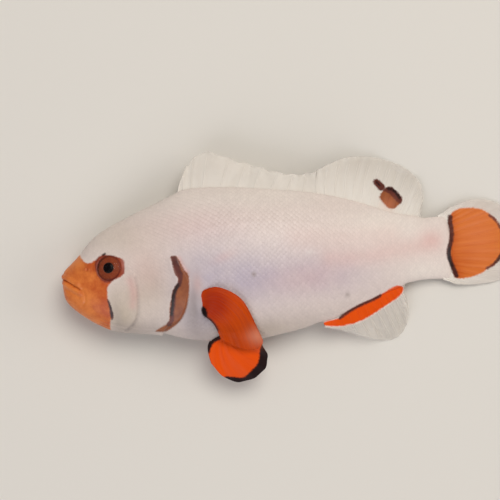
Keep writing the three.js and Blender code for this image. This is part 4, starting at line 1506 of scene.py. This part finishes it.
@dataclass(frozen=True)
class ScaleCoat:
    """The scales of one flank, in rows that follow the lie of the body from the nape to the tail fin.

    Args:
        body: The body.
        side: The flank.
        sizes: Width of a scale in millimetres at places down the body.
        variation: How much wider or narrower than that a scale may be, as a share.
        seed: The seed of the variation, to which the flank's own number is added.
    """

    body: BodyShape
    side: Side
    sizes: tuple[Pair, ...] = ((0.0, 0.5), (0.09, 0.56), (0.2, 0.68), (0.3, 0.84), (0.42, 1.06), (0.66, 1.06),
                               (0.8, 0.9), (0.92, 0.72), (1.02, 0.55))
    variation: float = 0.05
    seed: int = 7

    START = 0.06
    END = 1.012
    STRIDE = 0.5  # distance between columns of scales, in widths
    ROWS = 24  # rows on each side of the middle of the flank, of which those past back and belly are dropped
    STEP = 0.004  # stretch of the body over which a scale's heading and slope are taken
    RIDGE_LEAN = 0.05  # how much the scales of the ridges lean out of the middle plane
    ARC_STEPS = 160
    PATCH = 0.003  # size of a scale on the coat map
    MARGIN = 0.01  # what is left free round the coat map
    AT_CORNER = 1e-7  # metres from a corner of the skin within which its normal counts alone
    EYE_MARGIN = 3.15
    BARE = ((FACE, -0.45), (EYE_PATCH, -0.3), (GILL_BAND, -0.35))  # outlines, bare from that depth inwards
    OPENING = (0.3, 0.8, 0.045)  # middle, half width and top of the bare stretch along the gill opening
    LOBE_SHARE = 1.2  # how much of the pectoral fin's fleshy base is bare

    def width(self, place: ndarray) -> ndarray:
        """Width of a scale at a place, in millimetres."""
        return np.interp(place, *np.array(self.sizes).T)

    def column_places(self) -> list[float]:
        """Places of the columns of scales."""
        places = [self.START]
        while places[-1] < self.END:
            places.append(places[-1] + self.STRIDE * float(self.width(places[-1])) / self.body.fish.length)
        return places

    def angles(self, place: float, rows: ndarray) -> ndarray:
        """Angles round the body at which rows lie, counted along the skin from the middle of the flank.

        Args:
            place: The place down the body.
            rows: Row numbers, positive towards the back.

        Returns:
            Angles from the left flank. Rows past the back or the belly are not a number.
        """
        sweep = np.linspace(-math.pi / 2, math.pi / 2, self.ARC_STEPS + 1)
        ring = self.body.surface(np.full(sweep.shape, place), sweep)
        arc = np.concatenate([[0], np.cumsum(np.linalg.norm(np.diff(ring[:, 1:], axis=0), axis=1))])
        arc -= arc[self.ARC_STEPS // 2]
        return np.interp(rows * self.width(place), arc, sweep, np.nan, np.nan)

    def bare(self, seen: ndarray) -> ndarray:
        """Whether points of the side are naked: the face, round the eye, the gill membrane, the fin base."""
        length = self.body.fish.length
        naked = np.hypot(*(seen - np.array(EYE_PLACE) * length).T) < self.EYE_MARGIN
        for outline, depth in self.BARE:
            naked |= outline.gap(seen, length) > depth
        naked |= (((seen / length - Skin.LOBE) / Skin.LOBE_RADII) ** 2).sum(1) < self.LOBE_SHARE
        middle, half, top = self.OPENING
        return naked | (np.abs(GILL_OPENING.gap(seen, length) - middle) < half) & (seen[:, 1] < top * length)

    def points(self, place: float, angle: ndarray) -> ndarray:
        """Points of this flank's skin at angles counted as on the left one, in millimetres."""
        turned = angle if self.side is Side.LEFT else math.pi - angle
        return self.body.surface(np.full(angle.shape, place), turned)

    def roots(self) -> tuple[ndarray, dict[str, ndarray]]:
        """Where the scales grow.

        Returns:
            Their roots in millimetres, and for each its heading, its direction out of the body, its width in
            metres and its place on the coat map.
        """
        found = []
        for number, place in enumerate(self.column_places()):
            rows = np.arange(-self.ROWS, self.ROWS + 1) + 0.5 * (number % 2)
            angle = self.angles(place, rows)
            ahead = self.angles(place + self.STEP, rows)
            kept = ~np.isnan(angle)
            ahead = np.where(np.isnan(ahead), angle, ahead)[kept]
            angle = angle[kept]
            root = self.points(place, angle)
            width = np.full(len(angle), self.width(place) * MM)
            spot = np.column_stack([np.full(len(angle), place / self.END), angle / math.pi + 0.5, 0 * angle])
            found.append((root, self.points(place + self.STEP, ahead) - root, width, spot))
        root, ahead, width, spot = map(np.concatenate, zip(*found))
        kept = ~self.bare(root[:, :2])
        return root[kept], {"ahead": ahead[kept], "out": self.outward_at(root[kept]), "width": width[kept],
                            "map": spot[kept]}

    def outward_at(self, root: ndarray) -> ndarray:
        """Directions out of the body at the roots: the flank's own, leaning out of the middle plane."""
        place, height = root[:, :2].T / self.body.fish.length
        middle = np.column_stack([root[:, 0], np.zeros(len(root)), self.body.middle(place)])
        return self.body.facing(place, height, self.side, self.STEP) + self.RIDGE_LEAN * unit(root - middle)

    @staticmethod
    def tree() -> NodeTree:
        """The tree that puts a plate on each root, turned along its heading and slightly varied."""
        tree, entry = open_tree("lay_scales", {
            "Plate": "NodeSocketObject", "Width Variation": "NodeSocketFloat", "Seed": "NodeSocketInt",
            "Material": "NodeSocketMaterial"})
        plate = add_node(tree, "GeometryNodeObjectInfo", inputs={"Object": entry.outputs["Plate"]})
        ahead, out, width = (
            add_node(tree, "GeometryNodeInputNamedAttribute", {"data_type": kind}, {"Name": name})
            for name, kind in (("ahead", "FLOAT_VECTOR"), ("out", "FLOAT_VECTOR"), ("width", "FLOAT")))
        turn = add_node(tree, "FunctionNodeAxesToRotation", {"primary_axis": "X", "secondary_axis": "Z"}, {
            "Primary Axis": ahead, "Secondary Axis": out})
        least, most = (
            add_node(tree, "ShaderNodeMath", {"operation": operation}, {
                "Value": 1.0, "Value_001": entry.outputs["Width Variation"]})
            for operation in ("SUBTRACT", "ADD"))
        varied, shade = (
            add_node(tree, "FunctionNodeRandomValue", {"data_type": "FLOAT"}, {
                "Min_001": low, "Max_001": high, "Seed": entry.outputs["Seed"]})
            for low, high in ((least, most), (-1.0, 1.0)))
        size = add_node(tree, "ShaderNodeMath", {"operation": "MULTIPLY"}, {
            "Value": width, "Value_001": varied})
        laid = add_node(tree, "GeometryNodeInstanceOnPoints", inputs={
            "Points": entry.outputs["Geometry"], "Instance": plate.outputs["Geometry"], "Rotation": turn,
            "Scale": size})
        tinted = add_node(tree, "GeometryNodeStoreNamedAttribute", {
            "data_type": "FLOAT", "domain": "INSTANCE"}, {
                "Geometry": laid, "Name": "tint", "Value": shade})
        close_tree(tree, tinted, entry.outputs["Material"])
        return tree

    def hug(self, mesh: Mesh, skin: Mesh) -> None:
        """Bends the flat plates onto the skin and lifts each point by its height.

        Args:
            mesh: The flat plates.
            skin: The skin.
        """
        skin.calc_loop_triangles()
        corners = read(skin.loop_triangles, "vertices", 3, int)
        ground = read(skin.vertices, "co", 3)
        normals = read(skin.vertex_normals, "vector", 3)
        finder = BVHTree.FromPolygons(ground.tolist(), corners.tolist())
        hits = [finder.find_nearest(point) for point in read(mesh.vertices, "co", 3).tolist()]
        landed = np.array([hit[0][:] for hit in hits])
        face = corners[[hit[2] for hit in hits]]
        away = np.linalg.norm(ground[face] - landed[:, None], axis=2) + self.AT_CORNER
        out = unit((normals[face] / away[..., None]).sum(1))
        height = read(mesh.attributes["local"].data, "vector", 3)[:, 2:]
        width = read(mesh.attributes["width"].data, "value")[:, None]
        mesh.vertices.foreach_set("co", (landed + out * height * width).astype(np.float32).ravel())
        mesh.update()

    def map_coat(self, mesh: Mesh) -> None:
        """Gives each scale a small patch of the coat map at its root's place on the unwrapped skin."""
        root, local = (read(mesh.attributes[name].data, "vector", 3)[:, :2] for name in ("map", "local"))
        spot = self.MARGIN + (1 - 2 * self.MARGIN) * root + self.PATCH * local
        set_coat_map(mesh, spot[read(mesh.loops, "vertex_index", kind=int)])

    def build(self, plate: Object, skin: Object, material: Material) -> Object:
        """Makes the coat.

        Args:
            plate: The scale to repeat.
            skin: The skin it lies on.
            material: Its material.

        Returns:
            The piece.
        """
        name = f"scales_{self.side.name.lower()}"
        root, kept = self.roots()
        piece = grow(name, seed_mesh(name, self.body.fish.metres(root), [], kept), self.tree(), {
            "Plate": plate, "Width Variation": self.variation, "Seed": self.seed + self.side.value,
            "Material": material})
        self.hug(piece.data, skin.data)
        self.map_coat(piece.data)
        BODY_MARKS.paint(piece.data, self.body.fish)
        return finish_piece(piece)


class Seat(Enum):
    """What holds a fin's level."""

    SAGGING = "bends down from the middle plane"
    DRAPED = "lies over the left flank"
    PRESSED = "is pressed flat on the floor"


@dataclass(frozen=True)
class Fin:
    """A fin: a thin membrane over rays that fan out from its base.

    Args:
        name: The CAD node it replaces, and its own name.
        rays: A few guide rays from front to rear, each given by the same number of points from its base out.
        count: How many rays it has.
        marks: Its markings.
        slot: Its material slot, which is not used.
        seat: What holds its level.
        sag: How fast it bends down as it leaves the body.
        offset: Its level over the middle plane at the body.
        branched: Whether its rays branch towards the edge.
        ray_radius: Radius of a ray at its base.
        film: Opacity of clear membrane near the base, in the middle and at the edge.
        scallop: How far the edge draws in between rays, in millimetres.
        ripple: Height of the waves along the edge.
        waves: How many waves there are from front to rear.
        hollow: How far the membrane sags between two rays, in millimetres.
        on_flank: Whether its base lies on the flank instead of in the middle plane.
    """

    name: str
    rays: tuple[tuple[Pair, ...], ...]
    count: int
    marks: Markings
    slot: Slot
    seat: Seat = Seat.SAGGING
    sag: float = 0.0
    offset: float = 0.0
    branched: bool = True
    ray_radius: float = 0.17
    film: tuple[float, float, float] = (0.9, 0.62, 0.4)
    scallop: float = 0.25
    ripple: float = 0.2
    waves: float = 3.0
    hollow: float = 0.07
    on_flank: bool = False

    FINE = 120  # steps each way in the fin's sheet
    ACROSS = 6  # membrane columns between two rays
    DEEP = 52  # membrane rows from base to edge
    STREAK_LENGTH = 0.7  # how much of a streak fits between base and edge
    ROOT_THICKNESS = 0.7
    EDGE_THICKNESS = 0.14
    THINNED_AT = 1 / 3  # share out at which the membrane is as thin as its edge
    LAID_THICKNESS = 0.3  # most thickness of a fin that lies on something
    UNDERSIDE = 0.03  # lowest level of a membrane's underside
    DRAPE_START = -0.14  # height below which a draped fin hangs free
    DRAPE_DROP = 3.4  # how far a fin that hangs over the belly comes down in the end
    DRAPE_REACH = 4.0  # how soon it does, in millimetres
    DRAPE_LIFT = (0.05, 0.9)  # a draped fin's height over the flank at its root and further out
    DRAPE_RISE = (0, 0.3)  # where it comes up to that height
    DRAPE_SETTLE = 0.3  # how far its outer part settles back
    DRAPE_OUTER = (0.6, 1)  # where it does
    SAG_POWER = 1.5  # above 1 makes a fin bend more and more as it leaves the body
    FLANK_LIFT = 0.15  # height over the flank of a base that lies on it
    PRESSED_LEVEL = 0.34  # level of the fin under the body
    EDGE_COURSE = 0.9  # where the course that the edge draws in along starts
    GROWTH = (3, 1.5, 2)  # powers by which scallops, waves and small waves grow towards the edge
    WAVE_START = 0.8
    SMALL_WAVES = 2.7  # how many small waves there are to a large one
    SMALL_SLANT = 4  # how far the small waves turn on from base to edge
    SMALL_HEIGHT = 0.35  # their height against that of the large ones
    FILM_AT = (0.0, 0.15, 0.55, 1.0)  # shares out at which the film's opacity is given, full at the base
    PIGMENT_FILM = 0.97  # opacity where there is pigment
    PIGMENT_EDGE = (-0.5, 0.1)  # depths inside its edge over which it gets there
    # For an unbranched ray, a stem, a branch and a twig: where it starts and ends, its steps, its radius at
    # the start as a share of the ray's, and how fast it thins.
    LENGTHS = ((0, 1, 26, 1, 0.72), (0, 0.42, 12, 1, 0.5), (0.42, 0.72, 9, 0.62, 0.3),
               (0.72, 0.995, 9, 0.46, 0.9))
    FORK = 0.11  # how far branches part, in distances between rays
    FORK_RUN = (0.32, 0.72)  # where they part
    TWIGS = (0.1, 0.13)  # how far twigs part further, as pairs and within a pair
    TWIG_RUN = (0.72, 1)
    RAY_SIDES = 8
    RAY_FLOOR = 0.01  # least height of a ray over the floor

    def side_points(self, across: ndarray, out: ndarray) -> ndarray:
        """Points of the fin's side outline.

        Args:
            across: Shares from the front ray to the rear one.
            out: Shares from base to edge, of the same shape.

        Returns:
            Place and height along a last axis.
        """
        fine = np.linspace(0, 1, self.FINE + 1)
        keys = np.array(self.rays).transpose(1, 0, 2)
        sheet = smooth_curve(smooth_curve(keys, fine).transpose(1, 0, 2), fine)
        x, y = across * self.FINE, out * self.FINE
        i, j = (np.clip(steps.astype(int), 0, self.FINE - 1) for steps in (x, y))
        u, v = (x - i)[..., None], (y - j)[..., None]
        near = sheet[i, j] * (1 - v) + sheet[i, j + 1] * v
        far = sheet[i + 1, j] * (1 - v) + sheet[i + 1, j + 1] * v
        return near * (1 - u) + far * u

    def level(self, body: BodyShape, seen: ndarray, out: ndarray) -> ndarray:
        """Level of the fin's middle over the floor.

        Args:
            body: The body.
            seen: Place and height of each point.
            out: Shares from base to edge.

        Returns:
            Millimetres.
        """
        place, height = seen[..., 0], seen[..., 1]
        middle = body.middle(place)
        if self.seat is Seat.PRESSED:
            return np.full(place.shape, self.PRESSED_LEVEL)
        if self.seat is Seat.DRAPED:
            free = body.fish.length * np.maximum(self.DRAPE_START - height, 0)
            drop = self.DRAPE_DROP * (1 - np.exp(-free / self.DRAPE_REACH))
            hanging = body.flank(place, np.maximum(height, self.DRAPE_START)) - drop
            root, full = self.DRAPE_LIFT
            lift = root + (full - root) * ease(out, *self.DRAPE_RISE)
            lift -= self.DRAPE_SETTLE * ease(out, *self.DRAPE_OUTER)
            return middle + np.maximum(hanging, body.flank(place, height)) + lift
        start = self.offset
        if self.on_flank:
            start = np.maximum(start, body.flank(place, height) + self.FLANK_LIFT)
        return middle + start - self.sag * body.beyond(place, height) ** self.SAG_POWER

    def points(self, body: BodyShape, across: ndarray, out: ndarray) -> ndarray:
        """Points of the fin's middle, with the waves along its edge and the sag between its rays.

        Args:
            body: The body.
            across: Shares from the front ray to the rear one.
            out: Shares from base to edge, of the same shape.

        Returns:
            Millimetres of place, height and level along a last axis.
        """
        between = np.sin(across * (self.count - 1) * math.pi) ** 2
        seen = self.side_points(across, out)
        tip, inner = (self.side_points(across, np.full(across.shape, at)) for at in (1.0, self.EDGE_COURSE))
        scalloped, waving, rippling = (out**power for power in self.GROWTH)
        drawn = self.scallop / body.fish.length * between * scalloped
        seen = seen + unit(inner - tip) * drawn[..., None]
        turn = across * self.waves * math.tau
        wave = np.sin(turn + self.WAVE_START) * waving
        small = np.sin(turn * self.SMALL_WAVES + out * self.SMALL_SLANT) * rippling * self.SMALL_HEIGHT
        sag = self.hollow * between * np.sin(out * math.pi)
        level = self.level(body, seen, out) + self.ripple * (wave + small) - sag
        level = np.maximum(level, self.EDGE_THICKNESS)
        return np.concatenate([seen * body.fish.length, level[..., None]], -1)

    def tissue(self, across: ndarray, out: ndarray) -> dict[str, ndarray]:
        """What a piece of the fin keeps at each point.

        Args:
            across: Shares from the front ray to the rear one.
            out: Shares from base to edge, of the same shape.

        Returns:
            The opacity of clear membrane, and coordinates that count rays one way and run along them the
            other.
        """
        fan = np.stack([across * (self.count - 1), out * self.STREAK_LENGTH, np.zeros(out.shape)], -1)
        return {"film": np.interp(out, self.FILM_AT, (1.0, *self.film)).ravel(), "fan": fan.reshape(-1, 3)}

    def dress(self, mesh: Mesh, body: BodyShape) -> None:
        """Paints the markings and makes the pigmented parts opaque."""
        self.marks.paint(mesh, body.fish)
        film = read(mesh.attributes["film"].data, "value")
        for pigment in self.marks.outlines:
            depth = read(mesh.attributes[pigment.name.lower()].data, "value")
            film = np.maximum(film, self.PIGMENT_FILM * ease(depth, *self.PIGMENT_EDGE))
        set_attribute(mesh, "film", film)

    def membrane(self, body: BodyShape) -> Object:
        """Makes the membrane, with no material yet."""
        across, out = np.meshgrid(np.linspace(0, 1, (self.count - 1) * self.ACROSS + 1),
                                  np.linspace(0, 1, self.DEEP + 1), indexing="ij")
        middle = self.points(body, across, out)
        thinned = np.sqrt(np.minimum(out / self.THINNED_AT, 1))
        thick = self.ROOT_THICKNESS + (self.EDGE_THICKNESS - self.ROOT_THICKNESS) * thinned
        if self.seat is not Seat.SAGGING:
            thick = np.minimum(thick, self.LAID_THICKNESS)
        lift = np.zeros(middle.shape)
        lift[..., 2] = thick / 2
        points, groups = slab(middle + lift, np.maximum(middle - lift, (-np.inf, -np.inf, self.UNDERSIDE)))
        piece = make_piece(f"{self.name}_membrane", body.fish.metres(points), groups)
        for name, values in self.tissue(across, out).items():
            set_attribute(piece.data, name, np.concatenate([values, values]))
        self.dress(piece.data, body)
        return piece

    def ray_paths(self) -> list[tuple[ndarray, ndarray, ndarray]]:
        """Courses of the rays and their branches.

        Returns:
            For each length of ray its shares across, its shares out and its radii in millimetres.
        """
        paths = []
        pitch = 1 / (self.count - 1)
        outs = [np.linspace(start, end, steps) for start, end, steps, _, _ in self.LENGTHS]
        radii = [self.ray_radius * (wide - taper * (out - out[0]))
                 for out, (*_, wide, taper) in zip(outs, self.LENGTHS)]
        spine, stem, branch, twig = zip(outs, radii)
        forked = self.FORK * ease(branch[0], *self.FORK_RUN)
        parting = ease(twig[0], *self.TWIG_RUN)
        for number in range(self.count):
            if not self.branched:
                paths.append((number, *spine))
                continue
            paths.append((number, *stem))
            for first in (-1, 1):
                paths.append((number + first * forked, *branch))
                for second in (-1, 1):
                    apart = first * self.FORK + (first * self.TWIGS[0] + second * self.TWIGS[1]) * parting
                    paths.append((number + apart, *twig))
        return [(np.clip(at * pitch + 0 * out, 0, 1), out, radius) for at, out, radius in paths]

    @staticmethod
    def ray_tree() -> NodeTree:
        """The tree that turns courses into round rays."""
        tree, entry = open_tree("round_rays", {"Sides": "NodeSocketInt", "Material": "NodeSocketMaterial"})
        course = add_node(tree, "GeometryNodeMeshToCurve", inputs={"Mesh": entry.outputs["Geometry"]})
        thickness = add_node(tree, "GeometryNodeInputNamedAttribute", {"data_type": "FLOAT"},
                             {"Name": "thickness"})
        profile = add_node(tree, "GeometryNodeCurvePrimitiveCircle", inputs={
            "Resolution": entry.outputs["Sides"], "Radius": 1.0})
        tube = add_node(tree, "GeometryNodeCurveToMesh", inputs={
            "Curve": course, "Profile Curve": profile, "Scale": thickness, "Fill Caps": True})
        close_tree(tree, tube, entry.outputs["Material"])
        return tree

    def build(self, body: BodyShape, film: Material, horn: Material) -> list[Object]:
        """Makes the fin.

        Args:
            body: The body.
            film: The membrane's material.
            horn: The rays' material.

        Returns:
            The membrane and the rays.
        """
        paths = self.ray_paths()
        across, out, radius = map(np.concatenate, zip(*paths))
        ends = np.cumsum([len(path[1]) for path in paths]) - 1
        edges = [(k, k + 1) for k in range(ends[-1]) if k not in ends]
        courses = self.points(body, across, out)
        courses[:, 2] = np.maximum(courses[:, 2], radius + self.RAY_FLOOR)
        name = f"{self.name}_rays"
        kept = {"thickness": radius * MM, **self.tissue(across, out)}
        rays = grow(name, seed_mesh(name, body.fish.metres(courses), edges, kept), self.ray_tree(), {
            "Sides": self.RAY_SIDES, "Material": horn})
        rays.data.shade_smooth()
        self.dress(rays.data, body)
        membrane = finish_piece(self.membrane(body), (self.name,), film)
        return [membrane, finish_piece(rays)]


PELVIC_RAYS = (
    ((0.4, -0.174), (0.3735, -0.1865), (0.3625, -0.209), (0.367, -0.2445)),
    ((0.401, -0.175), (0.384, -0.2), (0.38, -0.237), (0.392, -0.28)),
    ((0.402, -0.176), (0.397, -0.215), (0.408, -0.26), (0.43, -0.301)),
    ((0.404, -0.177), (0.415, -0.217), (0.439, -0.257), (0.475, -0.294)),
    ((0.406, -0.178), (0.43, -0.21), (0.464, -0.24), (0.507, -0.269)),
    ((0.408, -0.178), (0.442, -0.199), (0.476, -0.216), (0.515, -0.235)),
    ((0.41, -0.178), (0.442, -0.19), (0.472, -0.199), (0.503, -0.207)),
)
PELVIC_PIVOT = (0.355, -0.172)  # the right pelvic fin is the left one, drawn together towards this point
PELVIC_SHRINK = (0.93, 0.88)
RIGHT_PELVIC_RAYS = tuple(tuple(tuple(p + s * (c - p) for p, s, c in zip(PELVIC_PIVOT, PELVIC_SHRINK, point))
                                for point in ray) for ray in PELVIC_RAYS)
FINS = (
    Fin("dorsal_fin_spiny", (
        ((0.32, 0.188), (0.324, 0.215), (0.334, 0.243)),
        ((0.345, 0.192), (0.347, 0.236), (0.355, 0.28)),
        ((0.38, 0.194), (0.389, 0.252), (0.403, 0.308)),
        ((0.44, 0.192), (0.458, 0.236), (0.478, 0.278)),
        ((0.5, 0.184), (0.516, 0.221), (0.533, 0.257)),
        ((0.56, 0.174), (0.577, 0.205), (0.593, 0.234)),
        ((0.62, 0.163), (0.634, 0.195), (0.646, 0.226)),
        ((0.682, 0.149), (0.682, 0.19), (0.687, 0.231)),
    ), 11, CLEAR_FIN_MARKS, Slot.CLEAR, sag=0.1, branched=False, ray_radius=0.18, scallop=0.4, ripple=0.3,
        film=(0.9, 0.7, 0.45)),
    Fin("dorsal_fin_soft", (
        ((0.682, 0.149), (0.682, 0.19), (0.687, 0.231)),
        ((0.73, 0.135), (0.738, 0.2), (0.755, 0.256)),
        ((0.775, 0.12), (0.793, 0.195), (0.817, 0.258)),
        ((0.82, 0.102), (0.845, 0.178), (0.874, 0.243)),
        ((0.86, 0.087), (0.892, 0.155), (0.924, 0.217)),
        ((0.895, 0.078), (0.928, 0.13), (0.957, 0.179)),
        ((0.922, 0.072), (0.944, 0.103), (0.962, 0.136)),
        ((0.938, 0.068), (0.947, 0.082), (0.953, 0.096)),
    ), 16, SOFT_DORSAL_MARKS, Slot.CLEAR, sag=0.1, film=(0.92, 0.75, 0.45), ripple=0.3, scallop=0.12),
    Fin("anal_fin", (
        ((0.67, -0.148), (0.669, -0.163), (0.67, -0.18)),
        ((0.705, -0.137), (0.711, -0.165), (0.722, -0.196)),
        ((0.745, -0.123), (0.76, -0.17), (0.785, -0.221)),
        ((0.785, -0.108), (0.808, -0.17), (0.836, -0.233)),
        ((0.82, -0.093), (0.845, -0.155), (0.871, -0.221)),
        ((0.85, -0.083), (0.872, -0.135), (0.892, -0.188)),
        ((0.87, -0.076), (0.884, -0.11), (0.896, -0.147)),
        ((0.882, -0.07), (0.887, -0.085), (0.89, -0.101)),
    ), 14, ANAL_MARKS, Slot.ORANGE, sag=0.12, film=(0.6, 0.34, 0.22), ripple=0.35, waves=4.0, scallop=0.12),
    Fin("tail_fin", (
        ((0.995, 0.082), (1.012, 0.09), (1.028, 0.102)),
        ((0.995, 0.07), (1.04, 0.092), (1.088, 0.117)),
        ((0.995, 0.052), (1.07, 0.078), (1.15, 0.106)),
        ((0.995, 0.028), (1.095, 0.048), (1.197, 0.067)),
        ((0.995, 0.0), (1.105, -0.002), (1.216, -0.004)),
        ((0.995, -0.03), (1.095, -0.046), (1.197, -0.064)),
        ((0.995, -0.055), (1.07, -0.077), (1.15, -0.099)),
        ((0.995, -0.074), (1.038, -0.09), (1.085, -0.107)),
        ((0.995, -0.084), (1.012, -0.092), (1.028, -0.102)),
    ), 17, TAIL_MARKS, Slot.ORANGE, film=(0.92, 0.75, 0.5), ripple=0.12, scallop=0.1),
    Fin("pectoral_fin_left", (
        ((0.3585, -0.107), (0.3665, -0.1195), (0.3855, -0.142), (0.399, -0.183)),
        ((0.357, -0.1), (0.381, -0.118), (0.41, -0.152), (0.425, -0.201)),
        ((0.3565, -0.09), (0.393, -0.106), (0.427, -0.15), (0.448, -0.212)),
        ((0.357, -0.079), (0.403, -0.088), (0.446, -0.138), (0.47, -0.218)),
        ((0.3588, -0.07), (0.407, -0.069), (0.459, -0.119), (0.494, -0.215)),
        ((0.361, -0.061), (0.4075, -0.0565), (0.465, -0.104), (0.5065, -0.199)),
        ((0.3645, -0.0545), (0.406, -0.048), (0.4635, -0.087), (0.4985, -0.174)),
    ), 15, PECTORAL_MARKS, Slot.ORANGE, seat=Seat.DRAPED, ray_radius=0.1, hollow=0.03, film=(0.99, 0.97, 0.6),
        ripple=0.1, scallop=0.1),
    Fin("pectoral_fin_right", (
        ((0.366, -0.116), (0.42, -0.126), (0.47, -0.135)),
        ((0.366, -0.1), (0.445, -0.112), (0.53, -0.122)),
        ((0.366, -0.08), (0.46, -0.084), (0.554, -0.089)),
        ((0.366, -0.062), (0.445, -0.058), (0.52, -0.056)),
        ((0.366, -0.046), (0.41, -0.041), (0.455, -0.038)),
    ), 15, PECTORAL_MARKS, Slot.ORANGE, seat=Seat.PRESSED, ray_radius=0.1, film=(1.0, 1.0, 0.95),
        ripple=0.0, scallop=0.1),
    Fin("pelvic_fin_left", PELVIC_RAYS, 7, PELVIC_MARKS, Slot.ORANGE, sag=0.12, offset=1.5,
        ray_radius=0.15, film=(1.0, 1.0, 0.97), ripple=0.22, scallop=0.15, waves=2.0, on_flank=True),
    Fin("pelvic_fin_right", RIGHT_PELVIC_RAYS, 7, PELVIC_MARKS, Slot.ORANGE, sag=0.2, offset=-0.8,
        ray_radius=0.2, film=(1.0, 1.0, 0.97), ripple=0.25, scallop=0.35, waves=2.0),
)


@dataclass(frozen=True)
class Studio:
    """A plain pale floor, soft light and a camera that looks straight down on the fish.

    Args:
        fish: The fish's frame.
        floor_radius: Radius of the floor in millimetres.
        lens: The camera's focal length.
        seen_width: Width of the picture at the fish, in millimetres.
        aim: The point of the side it looks at.
        roll: Its turn in degrees.
    """

    fish: FishFrame
    floor_radius: float = 3000.0
    lens: float = 135.0
    seen_width: float = 96.2
    aim: Pair = (0.4946, 0.0396)
    roll: float = -5.37

    FLOOR_DEPTH = 20.0
    FLOOR_SIDES = 64
    SENSOR = 36.0
    AIM_LEVEL = 6.8
    CLIP_START = 0.01
    LIGHTS = (("key", (0.15, 0.3, 0.7), 0.5, 3.2, "#fffaf4"),
              ("fill", (-0.3, -0.5, 0.45), 0.6, 1.7, "#f6f6ff"),
              ("rim", (0.6, 0.0, 0.35), 0.4, 0.9, "#fff8f0"))
    SURROUNDINGS = ("#efeeee", 0.34)  # colour and strength

    def floor(self, card: FloorCard) -> None:
        """Makes the floor, a wide thin disc, in a finish."""
        profile = ((0, -self.FLOOR_DEPTH), (self.floor_radius, -self.FLOOR_DEPTH), (self.floor_radius, 0.0),
                   (0, 0.0))
        points, groups = lathe(profile, self.FLOOR_SIDES)
        floor = make_piece("floor", points * MM, groups)
        floor.data.shade_flat()
        floor.data.materials.append(card.material())

    def camera(self) -> None:
        """Makes the camera."""
        data = bpy.data.cameras.new("camera")
        data.lens = self.lens
        data.sensor_width = self.SENSOR
        data.clip_start = self.CLIP_START
        camera = bpy.data.objects.new("camera", data)
        place, height = np.array(self.aim) * self.fish.length
        distance = self.seen_width * self.lens / self.SENSOR
        camera.location = self.fish.metres(np.array([place, height, self.AIM_LEVEL + distance]))[0]
        camera.rotation_euler = (0, 0, math.radians(self.roll))
        bpy.context.scene.collection.objects.link(camera)
        bpy.context.scene.camera = camera

    @staticmethod
    def light(name: str, place: tuple[float, float, float], size: float, watts: float, colour: str) -> None:
        """Adds a soft light that faces the fish.

        Args:
            name: Its name.
            place: Where it hangs, in metres.
            size: Width of its face in metres.
            watts: Its power.
            colour: Its colour.
        """
        data = bpy.data.lights.new(name, "AREA")
        data.shape = "DISK"
        data.size = size
        data.energy = watts
        data.color = linear(colour)[:3]
        light = bpy.data.objects.new(name, data)
        light.location = place
        light.rotation_mode = "QUATERNION"
        light.rotation_quaternion = (-Vector(place)).to_track_quat("-Z", "Y")
        bpy.context.scene.collection.objects.link(light)

    def build(self) -> None:
        """Makes floor, lights, surroundings and camera."""
        self.floor(FloorCard())
        self.camera()
        for light in self.LIGHTS:
            self.light(*light)
        world = bpy.data.worlds.new("surroundings")
        world.use_nodes = True
        colour, strength = self.SURROUNDINGS
        backdrop = world.node_tree.nodes["Background"]
        backdrop.inputs["Color"].default_value = linear(colour)
        backdrop.inputs["Strength"].default_value = strength
        bpy.context.scene.world = world
        bpy.context.scene.view_settings.view_transform = "Standard"


def main() -> None:
    """Builds the fish and the studio round it, and reports each piece."""
    logging.basicConfig(level=logging.INFO, format="%(name)s %(message)s")
    fish = FishFrame.from_box(CAD_LOW, CAD_HIGH)
    body = BodyShape(fish)
    Studio(fish).build()
    flesh = PearlFlesh().material()
    made = [Skin(body).build(flesh)]
    plate = ScalePlate().build(flesh)
    made += [ScaleCoat(body, side).build(plate, made[0], flesh) for side in Side]
    bpy.data.objects.remove(plate)
    tissue = EyeTissue("iris_and_lens", Eye.PUPIL, Eye.RING, Eye.RADIUS).material()
    cornea = Cornea().material()
    for side in Side:
        made += Eye(body, side).build(tissue, cornea)
    film = FinMembrane("fin_membrane").material()
    horn = FinMembrane("fin_ray", rays=True).material()
    for fin in FINS:
        made += fin.build(body, film, horn)
    for piece in made:
        triangles = sum(len(face.vertices) - 2 for face in piece.data.polygons)
        LOG.info("%s: %d triangles", piece.name, triangles)


if __name__ == "__main__":
    main()
